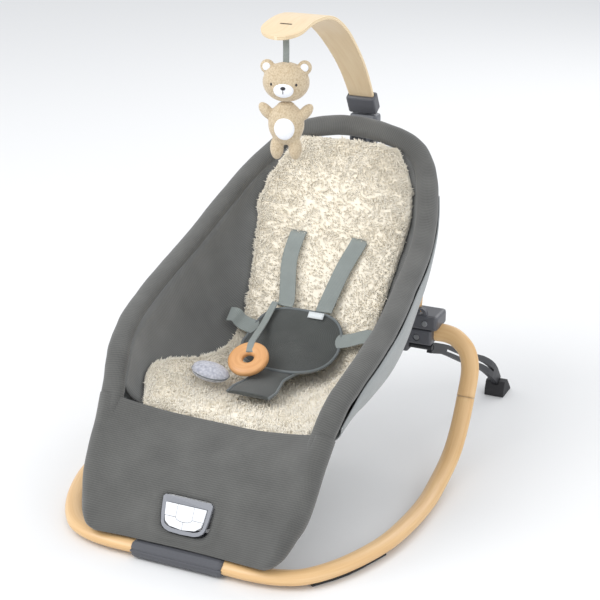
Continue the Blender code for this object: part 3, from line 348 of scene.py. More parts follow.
dark_nylon = moulded("dark_nylon", tint(86, 87, 92), 0.42)
powder_coat = moulded("powder_coat", tint(52, 53, 56), 0.5, 1500.0)
foot_rubber = moulded("foot_rubber", tint(50, 50, 52), 0.75, 500.0)
zinc_plate = moulded("zinc_plate", tint(170, 172, 176), 0.3, 1200.0, Metallic=1.0)
grey_nylon = moulded("grey_nylon", tint(104, 106, 111), 0.4)
white_key = moulded("white_key", tint(238, 240, 244), 0.35, 1500.0, Coat_Weight=0.15)
bezel_plastic = moulded("bezel_plastic", tint(140, 142, 148), 0.32, 1500.0, Coat_Weight=0.2)

HARD_FINISH = {
    "front_sleeve": (dark_nylon, 0.0008),
    "hub_housing": (dark_nylon, 0.0006),
    "hub_cover": (dark_nylon, 0.0006),
    "hub_screw": (zinc_plate, 0.0004),
    "hub_bolt": (zinc_plate, 0.0006),
    "hub_cross_tube": (powder_coat, 0.0004),
    "seat_stay": (tube_film, 0.0),
    "kickstand_leg": (powder_coat, 0.0008),
    "kickstand_rod": (powder_coat, 0.0004),
    "kickstand_foot": (foot_rubber, 0.0010),
    "rubber_pad": (foot_rubber, 0.0003),
    "seat_frame_tube": (powder_coat, 0.0),
    "front_clamp": (dark_nylon, 0.0004),
    "buckle": (powder_coat, 0.0004),
    "control_housing": (dark_nylon, 0.0003),
    "battery_door": (dark_nylon, 0.0002),
    "control_bezel": (bezel_plastic, 0.0006),
    "button": (white_key, 0.0004),
    "vibration_motor": (zinc_plate, 0.0),
    "motor_weight": (zinc_plate, 0.0),
    "toy_bar_bracket": (grey_nylon, 0.0010),
    "toy_bar_socket": (dark_nylon, 0.0008),
}
for node_name, cad_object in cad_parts.items():
    for start_of_name, (look, radius) in HARD_FINISH.items():
        if not node_name.startswith(start_of_name):
            continue
        cad_object.data.materials.clear()
        cad_object.data.materials.append(look)
        weld = cad_object.modifiers.new("weld", "WELD")
        weld.merge_threshold = 1e-5
        if radius:
            edge = cad_object.modifiers.new("edge", "BEVEL")
            edge.width, edge.segments = radius, 2
            edge.limit_method, edge.angle_limit = "ANGLE", radians(32)
            edge.use_clamp_overlap = True

# ---------------------------------------------------------------- mesh fabric
# A dark grey knitted spacer mesh: staggered open cells about two millimetres apart, with a soft dull face.
# The bucket's lining is the same cloth turned over, so it looks a little lighter.


def spacer_mesh(name, dark, light_grey, pitch=0.0036, depth=0.0006):
    cloth = Finish(name, 0.92, Sheen_Weight=0.25, Sheen_Roughness=0.5)
    along, wide = cloth.cloth_place()
    turns = 2 * pi / pitch
    one = cloth.wave((along * 0.62 + wide) * turns)
    two = cloth.wave((along * 0.62 - wide) * turns)
    cell = one * two * 0.5 + 0.5
    soft = cloth.speckle(26.0, 3.0)
    share = cell * 0.55 + soft * 0.5 - 0.05
    cloth.set("Base Color", cloth.between(share, dark, light_grey))
    cloth.relief(cell, depth, 0.55)
    return cloth.material


mesh_cloth = spacer_mesh("mesh_cloth", tint(62, 62, 61), tint(112, 112, 109))
lining_cloth = spacer_mesh("lining_cloth", tint(80, 81, 80), tint(128, 129, 128), 0.0042, 0.0004)
SEAT_HALF_WIDTH = 0.176
BAND_HALF_WIDTH, BAND_HALF_THICKNESS = 0.0155, 0.0125
# The frame tube's line under the front panel and inside the padded rim: share of the half width, back, up
FRAME_UNDER_PANEL = (
    (0.782, 0.0305, 0.0614),
    (0.803, 0.0395, 0.0720),
    (0.823, 0.0500, 0.0857),
    (0.840, 0.0700, 0.1121),
    (0.848, 0.0900, 0.1367),
    (0.862, 0.1060, 0.1610),
)
FRAME_IN_RIM = (
    (0.873, 0.1160, 0.1735),
    (0.913, 0.1400, 0.2023),
    (0.948, 0.1600, 0.2176),
    (0.986, 0.2000, 0.2370),
    (1.000, 0.2500, 0.2537),
    (0.990, 0.3000, 0.2712),
    (0.966, 0.3500, 0.2886),
    (0.945, 0.4000, 0.3072),
    (0.900, 0.4500, 0.3327),
    (0.800, 0.5070, 0.3690),
    (0.679, 0.5480, 0.3967),
    (0.535, 0.5635, 0.4203),
    (0.283, 0.5680, 0.4340),
    (0.000, 0.5685, 0.4400),
)


def mirrored(points):
    return [(-x, y, z) for x, y, z in points]


def rough(points, scale, amount, seed=0.0):
    """Moves points a little, the same way each time."""
    points = np.array(points, float)
    flat = points.reshape(-1, 3)
    moved = [noise.noise_vector(Vector(p) * scale + Vector((seed, 0, 0))) for p in flat]
    return (flat + np.array(moved) * amount).reshape(points.shape)


# ---------------------------------------------------------------- padded rim
# A foam-filled sleeve of the mesh cloth is pulled over the frame tube. It runs round the head end and down
# both sides to the front panel, which it goes under.

rim_half = [(share * SEAT_HALF_WIDTH, y, z) for share, y, z in (*FRAME_UNDER_PANEL[-2:], *FRAME_IN_RIM)]
rim_line = placed(smooth(rim_half + mirrored(rim_half[:-1])[::-1], 9))
rings = tube_rows(rim_line, BAND_HALF_WIDTH, BAND_HALF_THICKNESS, 28, level=(1, 0, 0), power=0.9)
rim = skin("rim_padding", rough(rings, 45, 0.0007), mesh_cloth, "frame", ring=True, caps=True)
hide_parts("rim_band")

# ---------------------------------------------------------------- bucket lining and outer cover
# The lining hangs from the rim as a hammock; soft folds run down its sides. The lighter outer cover is
# a second cloth below it that shows as a narrow strip along the outside of the rim.

# Share of the half width, tube's back and up, lowest back and up, the plush's share of the width
SLING_STATIONS = (
    (0.878, 0.1200, 0.1785, 0.1460, 0.1225, 0.88),
    (0.948, 0.1600, 0.2176, 0.1930, 0.1165, 0.94),
    (0.986, 0.2000, 0.2370, 0.2400, 0.1110, 0.92),
    (1.000, 0.2620, 0.2580, 0.3200, 0.1070, 0.78),
    (0.988, 0.3060, 0.2733, 0.3680, 0.1190, 0.70),
    (0.966, 0.3500, 0.2886, 0.4070, 0.1500, 0.68),
    (0.945, 0.4000, 0.3072, 0.4470, 0.2040, 0.72),
    (0.900, 0.4500, 0.3327, 0.4870, 0.2660, 0.82),
    (0.850, 0.4830, 0.3535, 0.5120, 0.3120, 0.92),
    (0.790, 0.5120, 0.3722, 0.5350, 0.3600, 0.92),
    (0.725, 0.5350, 0.3870, 0.5490, 0.3930, 0.87),
    (0.655, 0.5510, 0.4000, 0.5590, 0.4200, 0.78),
)
SLING_POWER = 0.78


def hang(width, edge, low, power, shares):
    """A row across the bucket, hung from its two edges."""
    shares = np.array(shares)
    depth = np.clip(1 - np.abs(shares) ** (2 / power), 0, 1) ** (power / 2)
    middle = np.array(edge) + (np.array(low) - edge) * depth[:, None]
    return np.column_stack([width * shares, middle])


def spread(count, power=1.0):
    """Shares from -1 to 1 across a piece, closer together near its edges."""
    return [bulged(sin(t), power) for t in np.linspace(-pi / 2, pi / 2, count)]


def denser(rows, per_span):
    """More rows between the given ones, along smooth curves."""
    rows = np.array(rows, float)
    return np.stack([smooth(rows[:, j], per_span) for j in range(rows.shape[1])], axis=1)


def outward(line):
    ahead = np.gradient(np.array(line), axis=0)
    away = np.stack([ahead[:, 1], -ahead[:, 0]], axis=1)
    return away / np.linalg.norm(away, axis=1)[:, None]


stations = np.array(SLING_STATIONS)
tube_edges, lows, covers = stations[:, 1:3], stations[:, 3:5], stations[:, 5]
frame_points = [(share * SEAT_HALF_WIDTH, y, z) for share, y, z in (*FRAME_UNDER_PANEL, *FRAME_IN_RIM)]
frame_line = smooth(frame_points, 8)
widths = []
for share, edge_y, edge_z, low_y, low_z, _ in stations:
    width = share * SEAT_HALF_WIDTH
    while True:
        row = hang(width, (edge_y, edge_z), (low_y, low_z), SLING_POWER, np.linspace(0, 1, 9))
        if np.linalg.norm(frame_line[:, None] - row, axis=2).min() > BAND_HALF_WIDTH - 0.001:
            break
        width -= 0.0005
    widths.append(width)
shares = spread(61, 0.85)
sling_rows = denser([hang(w, e, l, SLING_POWER, shares) for w, e, l in zip(widths, tube_edges, lows)], 6)
fold = np.array([[abs(s) ** 2 * (1 - abs(s) ** 6) for s in shares]] * len(sling_rows))
folds = rough(sling_rows, 17, 0.006, 3.0) - sling_rows
lining = skin("bucket_lining", placed(sling_rows + folds * fold[..., None]), lining_cloth, "frame")
lining_wall = lining.modifiers.new("wall", "SOLIDIFY")
lining_wall.thickness = 0.0016
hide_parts("seat_sling")

pale = Finish("pale_cloth", 0.9, Sheen_Weight=0.2)
weave_along, weave_wide = pale.cloth_place()
weave = pale.wave(weave_along * 5200) * pale.wave(weave_wide * 5200) * 0.5 + 0.5
pale_share = pale.speckle(30.0) * 0.6 + weave * 0.4
pale.set("Base Color", pale.between(pale_share, tint(138, 142, 142), tint(168, 172, 172)))
pale.relief(weave, 0.0002, 0.5)
rim_x = stations[:, 0] * SEAT_HALF_WIDTH
cover_edges = tube_edges + outward(tube_edges) * 0.0080
cover_lows = lows + outward(lows) * 0.009
cover_shares = spread(49, 0.9)
cover_rows = [
    hang(x + BAND_HALF_WIDTH + 0.001, e, l, 1.0, cover_shares)
    for x, e, l in list(zip(rim_x, cover_edges, cover_lows))[:-2]
]
cover = skin("outer_cover", placed(denser(cover_rows, 5)), pale.material, "frame")
cover_wall = cover.modifiers.new("wall", "SOLIDIFY")
cover_wall.thickness = 0.0016
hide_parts("back_cover")

# ---------------------------------------------------------------- plush liner
# A thick wool-look fleece pad lies in the bucket. It is wide under the thighs and at the head, and narrow
# at the hips. Its pile stands four to seven millimetres high in loose clumps, and it hides the edge.

fleece = Finish("fleece", 1.0, Sheen_Weight=0.6, Sheen_Roughness=0.6)
clump = fleece.speckle(120.0, 4.0)
broad = fleece.speckle(18.0, 2.0)
fleece.set("Base Color", fleece.between(clump * 0.5 + broad * 0.5, tint(244, 232, 208), tint(255, 250, 238)))
fleece.relief(clump, 0.0006, 0.5)
plush_shares = np.array(spread(57, 1.0))
plush_rows = []
for w, e, l, c in zip(widths, tube_edges, lows, covers):
    plush_rows.append(hang(w - 0.002, e, l, SLING_POWER, plush_shares * c))
plush_base = denser(plush_rows, 9)
down_dir = np.gradient(plush_base, axis=0)
wide_dir = np.gradient(plush_base, axis=1)
up_dir = np.cross(wide_dir, down_dir)
up_dir /= np.linalg.norm(up_dir, axis=2)[..., None]
length_share = np.linspace(0, 1, len(plush_base))
crown = (1 - np.abs(plush_shares) ** 8)[None, :] * (1 - np.abs(2 * length_share - 1) ** 26)[:, None]
lift = 0.003 + 0.0125 * crown ** 0.5
bumps = [[noise.noise(Vector(p) * 38) + 0.6 * noise.noise(Vector(p) * 95) for p in row] for row in plush_base]
bumps = np.array(bumps)
top_rows = plush_base + up_dir * (lift + bumps * 0.0017 * crown ** 0.5)[..., None]
under_rows = plush_base + up_dir * 0.0022
loop_rows = np.concatenate([top_rows, under_rows[:, ::-1]], axis=1)
plush = skin("plush_liner", placed(loop_rows), fleece.material, "frame", ring=True, caps=True)
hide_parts("sherpa_insert")

rng = np.random.default_rng(7)


def near_ends(number, first_share, depth, last):
    """Places within this depth of nought or of the last one."""
    at_first = rng.random(number) < first_share
    from_first = rng.uniform(0, depth, number)
    return np.where(at_first, from_first, last - rng.uniform(0, depth, number))


count = 30000
rows_at = rng.uniform(0, len(top_rows) - 1.001, count)
wide_at = rng.uniform(0, top_rows.shape[1] - 1.001, count)
edge_count = count // 4
wide_at[:edge_count] = near_ends(edge_count, 0.5, 2.5, top_rows.shape[1] - 1.001)
end_count = count // 14
rows_at[edge_count : edge_count + end_count] = near_ends(end_count, 0.6, 2, len(top_rows) - 1.001)


def blended(grid):
    """The grid's value at each tuft's place."""
    i, j = rows_at.astype(int), wide_at.astype(int)
    a, b = (rows_at - i)[:, None], (wide_at - j)[:, None]
    near = grid[i, j] * (1 - b) + grid[i, j + 1] * b
    far = grid[i + 1, j] * (1 - b) + grid[i + 1, j + 1] * b
    return near * (1 - a) + far * a


roots, normals = blended(top_rows), blended(up_dir)
lean = rng.normal(size=(count, 3))
clumps = np.array([noise.noise_vector(Vector(p) * 55) for p in roots])
tips_dir = normals * 1.0 + lean * 0.34 + clumps * 0.95
tips_dir /= np.linalg.norm(tips_dir, axis=1)[:, None]
tall = rng.uniform(0.0040, 0.0068, count)[:, None]
side_dir = np.cross(tips_dir, rng.normal(size=(count, 3)))
side_dir /= np.linalg.norm(side_dir, axis=1)[:, None]
other_dir = np.cross(tips_dir, side_dir)
fat = rng.uniform(0.0007, 0.0013, count)[:, None]
corners = []
for k in range(3):
    t = 2 * pi * k / 3
    corners.append(roots - normals * 0.001 + (side_dir * cos(t) + other_dir * sin(t)) * fat)
for k in range(3):
    t = 2 * pi * k / 3 + 0.5
    mid = roots + tips_dir * tall * 0.55 + (side_dir * cos(t) + other_dir * sin(t)) * fat * 0.85
    corners.append(mid)
curl = clumps * 0.0016 + lean * 0.0007
corners.append(roots + tips_dir * tall + curl)
tuft_points = np.stack(corners, axis=1).reshape(-1, 3)
one_tuft = [(0, 1, 4, 3), (1, 2, 5, 4), (2, 0, 3, 5), (3, 4, 6), (4, 5, 6), (5, 3, 6)]
pile_mesh = bpy.data.meshes.new("plush_pile")
pile_faces = [[7 * n + v for v in face] for n in range(count) for face in one_tuft]
pile_mesh.from_pydata(placed(tuft_points).tolist(), [], pile_faces)
pile_mesh.polygons.foreach_set("use_smooth", [True] * len(pile_mesh.polygons))
pile_mesh.materials.append(fleece.material)
pile = bpy.data.objects.new("plush_pile", pile_mesh)
bpy.context.scene.collection.objects.link(pile)
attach(pile, "frame")

# ---------------------------------------------------------------- front panel
# The same mesh cloth is stretched over the foot end and wraps the tube at both sides. It sinks a little
# round the control unit, inside a soft welt.

# Share of the half width, tube's back and up, wrap radius, its outward direction, the middle's back and up
PANEL_ROWS = (
    (0.658, 0.0020, 0.0256, 0.006, -0.85, 0.50, 0.0058, 0.0246),
    (0.711, 0.0032, 0.0314, 0.008, -0.85, 0.52, 0.0098, 0.0315),
    (0.751, 0.0120, 0.0406, 0.011, -0.82, 0.57, 0.0150, 0.0405),
    (0.766, 0.0213, 0.0510, 0.014, -0.80, 0.60, 0.0212, 0.0511),
    (0.782, 0.0303, 0.0614, 0.0155, -0.79, 0.61, 0.0280, 0.0630),
    (0.803, 0.0395, 0.0718, 0.0165, -0.77, 0.64, 0.0350, 0.0755),
    (0.823, 0.0500, 0.0857, 0.0165, -0.77, 0.64, 0.0440, 0.0905),
    (0.840, 0.0700, 0.1121, 0.0165, -0.76, 0.65, 0.0725, 0.1120),
    (0.848, 0.0900, 0.1367, 0.0165, -0.76, 0.65, 0.1040, 0.1300),
    (0.865, 0.1090, 0.1650, 0.0165, -0.75, 0.66, 0.1340, 0.1435),
)
panel_rows = []
for share, tube_y, tube_z, radius, out_y, out_z, mid_y, mid_z in PANEL_ROWS:
    width = share * SEAT_HALF_WIDTH
    out = np.array((out_y, out_z)) / np.hypot(out_y, out_z)
    tube, middle = np.array((tube_y, tube_z)), np.array((mid_y, mid_z))
    crest = tube + out * radius
    half = []
    for share_out in np.linspace(0, 1, 31):
        y, z = middle + (crest - middle) * share_out**2.6
        half.append((share_out * width, y, z))
    for wrap in range(15, 151, 15):
        y, z = tube + out * radius * cos(radians(wrap))
        half.append((width + radius * sin(radians(wrap)), y, z))
    panel_rows.append(mirrored(half[1:])[::-1] + half)
panel_rows = denser(panel_rows, 10)
UNIT_WIDTH, UNIT_HEIGHT = 0.071, 0.046
UNIT_CORNER = 0.010
UNIT_EDGE = 0.004
WELT_AWAY, WELT_HALF_WIDE, WELT_HIGH = 0.0085, 0.0032, 0.0016
unit = Matrix.Translation((0, 0.0263 - FRONT_TO_MIDDLE, 0.0600)) @ Matrix.Rotation(radians(60), 4, "X")
unit_inverse = np.array(unit.inverted())
flat_rows = placed(panel_rows)
local = flat_rows @ unit_inverse[:3, :3].T + unit_inverse[:3, 3]
past_side = np.abs(local[..., 0]) - UNIT_WIDTH / 2
past_end = np.abs(local[..., 1]) - UNIT_HEIGHT / 2
edge_gap = np.maximum(past_side, past_end) + UNIT_EDGE
corner_gap = np.hypot(np.clip(past_side + UNIT_CORNER, 0, None), np.clip(past_end + UNIT_CORNER, 0, None))
away_from_unit = np.where(edge_gap > 0, corner_gap - UNIT_CORNER, -UNIT_CORNER)
sink = -0.0030 * np.clip(1 - away_from_unit / UNIT_EDGE, 0, 1)
welt = WELT_HIGH * np.exp(-(((away_from_unit - WELT_AWAY) / WELT_HALF_WIDE) ** 2))
unit_out = np.array(unit)[:3, 2]
on_face = np.abs(local[..., 2]) < 0.03
flat_rows = flat_rows + unit_out * (sink + welt)[..., None] * on_face[..., None]
flat_rows = rough(flat_rows, 14, 0.0012, 9.0)
panel = skin("front_panel_cloth", flat_rows, mesh_cloth, "frame")
hole = bmesh.new()
outline = []
for t in np.linspace(0, 2 * pi, 48, endpoint=False):
    taper, power = (1, 0.22) if sin(t) > 0 else (0.95, 0.5)
    half_wide, half_high = UNIT_WIDTH / 2 + 0.001, UNIT_HEIGHT / 2 + 0.001
    outline.append((bulged(cos(t), power) * half_wide * taper, bulged(sin(t), power) * half_high))
lower = [hole.verts.new(unit @ Vector((x, y, -0.03))) for x, y in outline]
upper = [hole.verts.new(unit @ Vector((x, y, 0.03))) for x, y in outline]
hole.faces.new(lower[::-1])
hole.faces.new(upper)
for i in range(len(outline)):
    k = (i + 1) % len(outline)
    hole.faces.new((lower[i], lower[k], upper[k], upper[i]))
hole_mesh = bpy.data.meshes.new("hole")
hole.to_mesh(hole_mesh)
hole.free()
punch = bpy.data.objects.new("hole", hole_mesh)
bpy.context.scene.collection.objects.link(punch)
panel_wall = panel.modifiers.new("wall", "SOLIDIFY")
panel_wall.thickness, panel_wall.offset = 0.0024, -1
opening = panel.modifiers.new("opening", "BOOLEAN")
opening.operation, opening.object = "DIFFERENCE", punch
graph = bpy.context.evaluated_depsgraph_get()
finished = bpy.data.meshes.new_from_object(panel.evaluated_get(graph), depsgraph=graph)
panel.modifiers.clear()
panel.data = finished
bpy.data.objects.remove(punch)
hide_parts("front_panel")

# ---------------------------------------------------------------- harness
# Grey woven webbing, 25 mm wide and under 2 mm thick, runs from slots in the liner to the belly pad.
# It goes under the pad to the buckle, so its ends are not seen.


def webbing_finish(name, dark, light_grey):
    band = Finish(name, 0.75, Sheen_Weight=0.2)
    along, wide = band.cloth_place()
    rib = band.wave(wide * 4200) * 0.5 + 0.5
    pick = band.wave(along * 3600) * 0.5 + 0.5
    share = rib * 0.35 + pick * 0.35 + band.speckle(60.0) * 0.3
    band.set("Base Color", band.between(share, dark, light_grey))
    band.relief(rib * 0.6 + pick * 0.4, 0.0003, 0.6)
    return band.material


webbing = webbing_finish("webbing", tint(108, 115, 113), tint(158, 165, 162))


def strap(name, points, level, width, node, look=webbing, thick=0.0018, body="frame"):
    """A flat woven band along smooth points; level is its width's direction."""
    line = placed(smooth(points, 8))
    rings = tube_rows(line, width / 2, thick / 2, 20, level=level, power=0.45)
    band = skin(name, rings, look, body, ring=True, caps=True)
    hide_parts(node)
    return band


# Where each shoulder strap leaves the liner, is halfway, and reaches the pad, across the seat
SHOULDER_ACROSS = (("left", -0.049, -0.0515, -0.040), ("right", 0.0475, 0.0340, 0.023))
for side_name, slot_x, middle_x, pad_x in SHOULDER_ACROSS:
    route = (
        (pad_x, 0.4080, 0.2040),
        (pad_x, 0.4185, 0.2120),
        (middle_x, 0.4510, 0.2560),
        (slot_x, 0.4720, 0.2890),
        (slot_x, 0.4840, 0.2950),
    )
    strap(f"shoulder_webbing_{side_name}", route, (1, 0, 0), 0.025, f"shoulder_strap_{side_name}")
for side_name, side in SIDES:
    pad_edge = -0.0065 + side * 0.0700
    route = (
        (pad_edge - side * 0.010, 0.3770, 0.1765),
        (pad_edge, 0.3768, 0.1775),
        (pad_edge + side * 0.016, 0.3755, 0.1830),
        (side * 0.101, 0.3735, 0.1925),
        (side * 0.112, 0.3725, 0.1930),
    )
    strap(f"waist_webbing_{side_name}", route, (0, 0.86, 0.51), 0.025, f"waist_belt_{side_name}")

# ---------------------------------------------------------------- belly pad
# A foam-filled shield of fine dark mesh, bound all round with grey piping, over a crotch piece of the same
# cloth. The straps meet behind it.

PAD_HALF_WIDTH, PAD_SHIFT = 0.0725, -0.0065
pad_line = smooth(
    (
        (0, 0.2200, 0.1480),
        (0, 0.2440, 0.1470),
        (0, 0.2740, 0.1465),
        (0, 0.2950, 0.1485),
        (0, 0.3200, 0.1530),
        (0, 0.3500, 0.1630),
        (0, 0.3760, 0.1740),
        (0, 0.3955, 0.1885),
        (0, 0.4110, 0.2025),
    ),
    8,
)
pad_travel = np.r_[0, np.cumsum(np.linalg.norm(np.diff(pad_line, axis=0), axis=1))]
pad_ahead = np.gradient(pad_line, axis=0)
pad_ahead /= np.linalg.norm(pad_ahead, axis=1)[:, None]
pad_length = pad_travel[-1]


def on_pad(x, travel, lift):
    """A point over the pad's middle line: to its side, along it and above it."""
    at = np.array([np.interp(travel, pad_travel, pad_line[:, k]) for k in range(3)])
    ahead = np.array([np.interp(travel, pad_travel, pad_ahead[:, k]) for k in range(3)])
    return at + (x + PAD_SHIFT, 0, 0) + np.array((0, -ahead[2], ahead[1])) * lift


pad_cloth = spacer_mesh("pad_mesh", tint(48, 50, 49), tint(92, 95, 93), 0.0030, 0.0004)
piping_look = webbing_finish("piping_tape", tint(86, 91, 93), tint(124, 130, 132))
shield_low, shield_high = pad_length * 0.405, pad_length - 0.002
shield_middle, shield_half = (shield_low + shield_high) / 2, (shield_high - shield_low) / 2


def shield_place(radius, angle, lift):
    """Places on the shield, which has a broad top with round corners and a rounder bottom."""
    c, s = cos(angle), sin(angle)
    power = 0.56 if s > 0 else 0.82
    x = bulged(c, power) * PAD_HALF_WIDTH
    if s > 0:
        x *= 0.985 * (1 - 0.10 * s)
    y = bulged(s, 0.62 if s > 0 else 0.86) * shield_half
    return on_pad(x * radius, shield_middle + y * radius, lift)


radii = (0.001, 0.15, 0.3, 0.45, 0.6, 0.72, 0.82, 0.9, 0.96, 1.0)
angles = np.linspace(0, 2 * pi, 72, endpoint=False)
upper_side = [[shield_place(r, a, 0.0010 + 0.0048 * (1 - r**3.5)) for a in angles] for r in radii]
lower_side = [[shield_place(r, a, -0.0012 - 0.0035 * (1 - r**4)) for a in angles] for r in radii[::-1]]
shield = skin("belly_shield", placed(upper_side + lower_side), pad_cloth, "frame", ring=True)
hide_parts("belly_pad")
binding = placed([shield_place(1.0, a, 0.0004) for a in np.linspace(0, 2 * pi, 97)])
binding_rows = tube_rows(binding, 0.0024, 0.0022, 12, level=(0, 0, 1))
shield_piping = skin("belly_shield_piping", binding_rows, piping_look, "frame", ring=True)

# How far along the pad's line, and the half width there
crotch_widths = (
    (0.0, 0.031),
    (0.02, 0.0325),
    (0.045, 0.027),
    (0.062, 0.0235),
    (0.085, 0.030),
    (0.110, 0.042),
)
crotch_rows, crotch_edges = [], {-1: [], 1: []}
for travel in np.linspace(0.0, 0.105, 26):
    half = np.interp(travel, *np.array(crotch_widths).T)
    lift = -0.0015 - 0.004 * max(0, (travel - 0.07) / 0.035)
    row = [on_pad(s * half, travel, lift + 0.0028 * (1 - abs(s) ** 5)) for s in spread(15)]
    row += [on_pad(s * half, travel, lift - 0.0018) for s in spread(15)[::-1]]
    crotch_rows.append(row)
    for s in (-1, 1):
        crotch_edges[s].append(on_pad(s * half, travel, lift + 0.0004))
crotch = skin("crotch_piece", placed(crotch_rows), pad_cloth, "frame", ring=True, caps=True)
for side_name, side in SIDES:
    edge_rows = tube_rows(placed(crotch_edges[side]), 0.0022, 0.0020, 10, level=(0, 0, 1))
    edge_piping = skin(f"crotch_piping_{side_name}", edge_rows, piping_look, "frame", ring=True, caps=True)
tag_cloth = Finish("tag_cloth", 0.8)
tag_weave = tag_cloth.speckle(900.0)
tag_cloth.set("Base Color", tag_cloth.between(tag_weave, tint(206, 212, 214), tint(236, 240, 242)))
tag_cloth.relief(tag_weave, 0.0001, 0.4)
tag_across = np.linspace(0.009, 0.033, 7)
tag_rows = [[on_pad(x, pad_length - below, 0.0066) for x in tag_across] for below in (0.0145, 0.010, 0.0045)]
tag = skin("sewn_tag", placed(tag_rows), tag_cloth.material, "frame")
tag_wall = tag.modifiers.new("wall", "SOLIDIFY")
tag_wall.thickness = 0.0006
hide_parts("care_tag")

# ---------------------------------------------------------------- ring, leaf and their strap
# A turned beech ring and a small stuffed leaf hang on a woven loop from the pad's left corner, and lie on it.

beech = grain_finish("beech", tint(232, 178, 122), tint(200, 138, 84), 0.45, 3.0)
RING_MIDDLE, RING_HALF_WIDE, RING_HALF_THICK = 0.01875, 0.01075, 0.006
ring_lean = Matrix.Rotation(radians(28), 4, "X")
ring_at = Matrix.Translation((-0.0380, 0.2860 - FRONT_TO_MIDDLE, 0.1680)) @ ring_lean
ring_rows = []
for t in np.linspace(0, 2 * pi, 73):
    row = []
    for u in np.linspace(0, 2 * pi, 20, endpoint=False):
        c, s = cos(u), sin(u)
        out = RING_MIDDLE + RING_HALF_WIDE * bulged(c, 0.8)
        row.append(ring_at @ Vector((out * cos(t), out * sin(t), RING_HALF_THICK * bulged(s, 0.7))))
    ring_rows.append(row)
beech_ring = skin("beech_ring", ring_rows, beech, "pad_toy", ring=True)
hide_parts("wooden_ring")
toy_route = (
    (-0.0525, 0.4060, 0.2085),
    (-0.0530, 0.4000, 0.2060),
    (-0.0555, 0.3740, 0.1880),
    (-0.0480, 0.3300, 0.1850),
    (-0.0430, 0.3060, 0.1840),
    (-0.0395, 0.2920, 0.1760),
)
strap("toy_webbing", toy_route, (1, 0, 0), 0.010, "toy_strap", thick=0.0026, body="pad_toy")
crochet = Finish("crochet", 0.95, Sheen_Weight=0.4)
stitch = crochet.node("ShaderNodeTexVoronoi", {"feature": "SMOOTH_F1"}, Vector=crochet.place(), Scale=310.0)
crochet.set("Base Color", crochet.between(stitch * 1.2, tint(205, 206, 214), tint(150, 152, 164)))
crochet.relief(1 - stitch, 0.0012, 0.9)
leaf_turn = Matrix.Rotation(radians(14), 4, "Z") @ Matrix.Rotation(radians(14), 4, "Y")
leaf_at = Matrix.Translation((-0.0765, 0.2450 - FRONT_TO_MIDDLE, 0.1585)) @ leaf_turn


def leaf_point(out, side, up):
    """A place on the leaf: along it, across it, and out of its face."""
    return leaf_at @ Vector((out, side, up))


around_leaf = np.linspace(0, 2 * pi, 32, endpoint=False)
leaf_rows = []
for t in np.linspace(-pi / 2 + 0.02, pi / 2 - 0.02, 33):
    tip = cos(t) ** (0.95 if t > 0 else 0.8)
    wide, thick = 0.0222 * tip, 0.0112 * tip
    leaf_rows.append([leaf_point(0.0262 * sin(t), wide * cos(u), thick * sin(u)) for u in around_leaf])
leaf = skin("stuffed_leaf", leaf_rows, crochet.material, "pad_toy", ring=True, caps=True)
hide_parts("leaf_toy")
seam_line = [leaf_point(0.0264 * sin(t), 0.0224 * cos(t), 0) for t in np.linspace(0, 2 * pi, 65)]
seam_rows = tube_rows(seam_line, 0.0009, 0.0009, 8, level=(0, 0, 1))
leaf_seam = skin("leaf_seam", seam_rows, piping_look, "pad_toy", ring=True)

# ---------------------------------------------------------------- toy bar
# Thin plywood bent to an arch: pale veneer on both faces, and the layers' lines on its edges. It widens
# towards a round end, where a ribbon comes through a slot.

BAR_LINE = (
    (0.000, 0.000),
    (0.009, 0.0165),
    (0.040, 0.0585),
    (0.077, 0.0955),
    (0.122, 0.1310),
    (0.168, 0.1550),
    (0.205, 0.1645),
    (0.240, 0.1665),
    (0.273, 0.1625),
    (0.305, 0.1530),
)
NOSE_LENGTH = 0.031
BAR_HALF_THICK = 0.0030
veneer = grain_finish("veneer", tint(232, 212, 178), tint(214, 186, 146), 0.5, 1.6)
ply = Finish("ply_edge", 0.55)
_, ply_around = ply.cloth_place()
ply_lines = ply.wave(ply.speckle(30.0) * 2 + ply_around * 3000) * 0.5 + 0.5
ply.set("Base Color", ply.between(ply_lines, tint(214, 184, 140), tint(244, 226, 192)))
ply.relief(ply_lines, 0.0001, 0.4)
bar_line = smooth([(0, 0.605 - forward, 0.466 + up) for forward, up in BAR_LINE], 12)
bar_travel = np.r_[0, np.cumsum(np.linalg.norm(np.diff(bar_line, axis=0), axis=1))]
bar_end = bar_travel[-1]
ends_dense = bar_end - NOSE_LENGTH * (1 - np.sin(np.linspace(0, pi / 2, 20)))
stops = np.unique(np.r_[bar_travel[bar_travel < bar_end - NOSE_LENGTH - 0.001], ends_dense])
bar_line = np.stack([np.interp(stops, bar_travel, bar_line[:, k]) for k in range(3)], axis=1)
bar_widths = 0.038 + 0.024 * np.clip(stops / (bar_end * 0.75), 0, 1) ** 1.3
from_end = np.clip(1 - (bar_end - stops) / NOSE_LENGTH, 0, 1)
bar_widths = bar_widths * np.sqrt(np.clip(1 - from_end**2.4, 0.004, 1))
bar_rings = tube_rows(placed(bar_line), bar_widths / 2, BAR_HALF_THICK, 40, level=(1, 0, 0), power=0.16)
toy_bar = skin("plywood_bar", bar_rings, veneer, "toy_bar_arm", ring=True, caps=True)
toy_bar.data.materials.append(ply.material)
nose_starts = 0.302 - FRONT_TO_MIDDLE
for face in toy_bar.data.polygons:
    if abs(face.normal.x) > 0.75 or (face.center.y < nose_starts and abs(face.normal.z) < 0.5):
        face.material_index = 1
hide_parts("toy_bar")
# The slot is not cut through the bar: a thin dark sheet lies on it there, painted shade standing in for the
# dark inside the slot.
slot_shade_look = Finish("slot_shadow", 0.9)
slot_shade_look.set("Base Color", slot_shade_look.between(slot_shade_look.speckle(200.0), tint(60, 50, 40), tint(90, 78, 62)))
slot_across = np.linspace(-0.0085, 0.0085, 7)
slot_rows = []
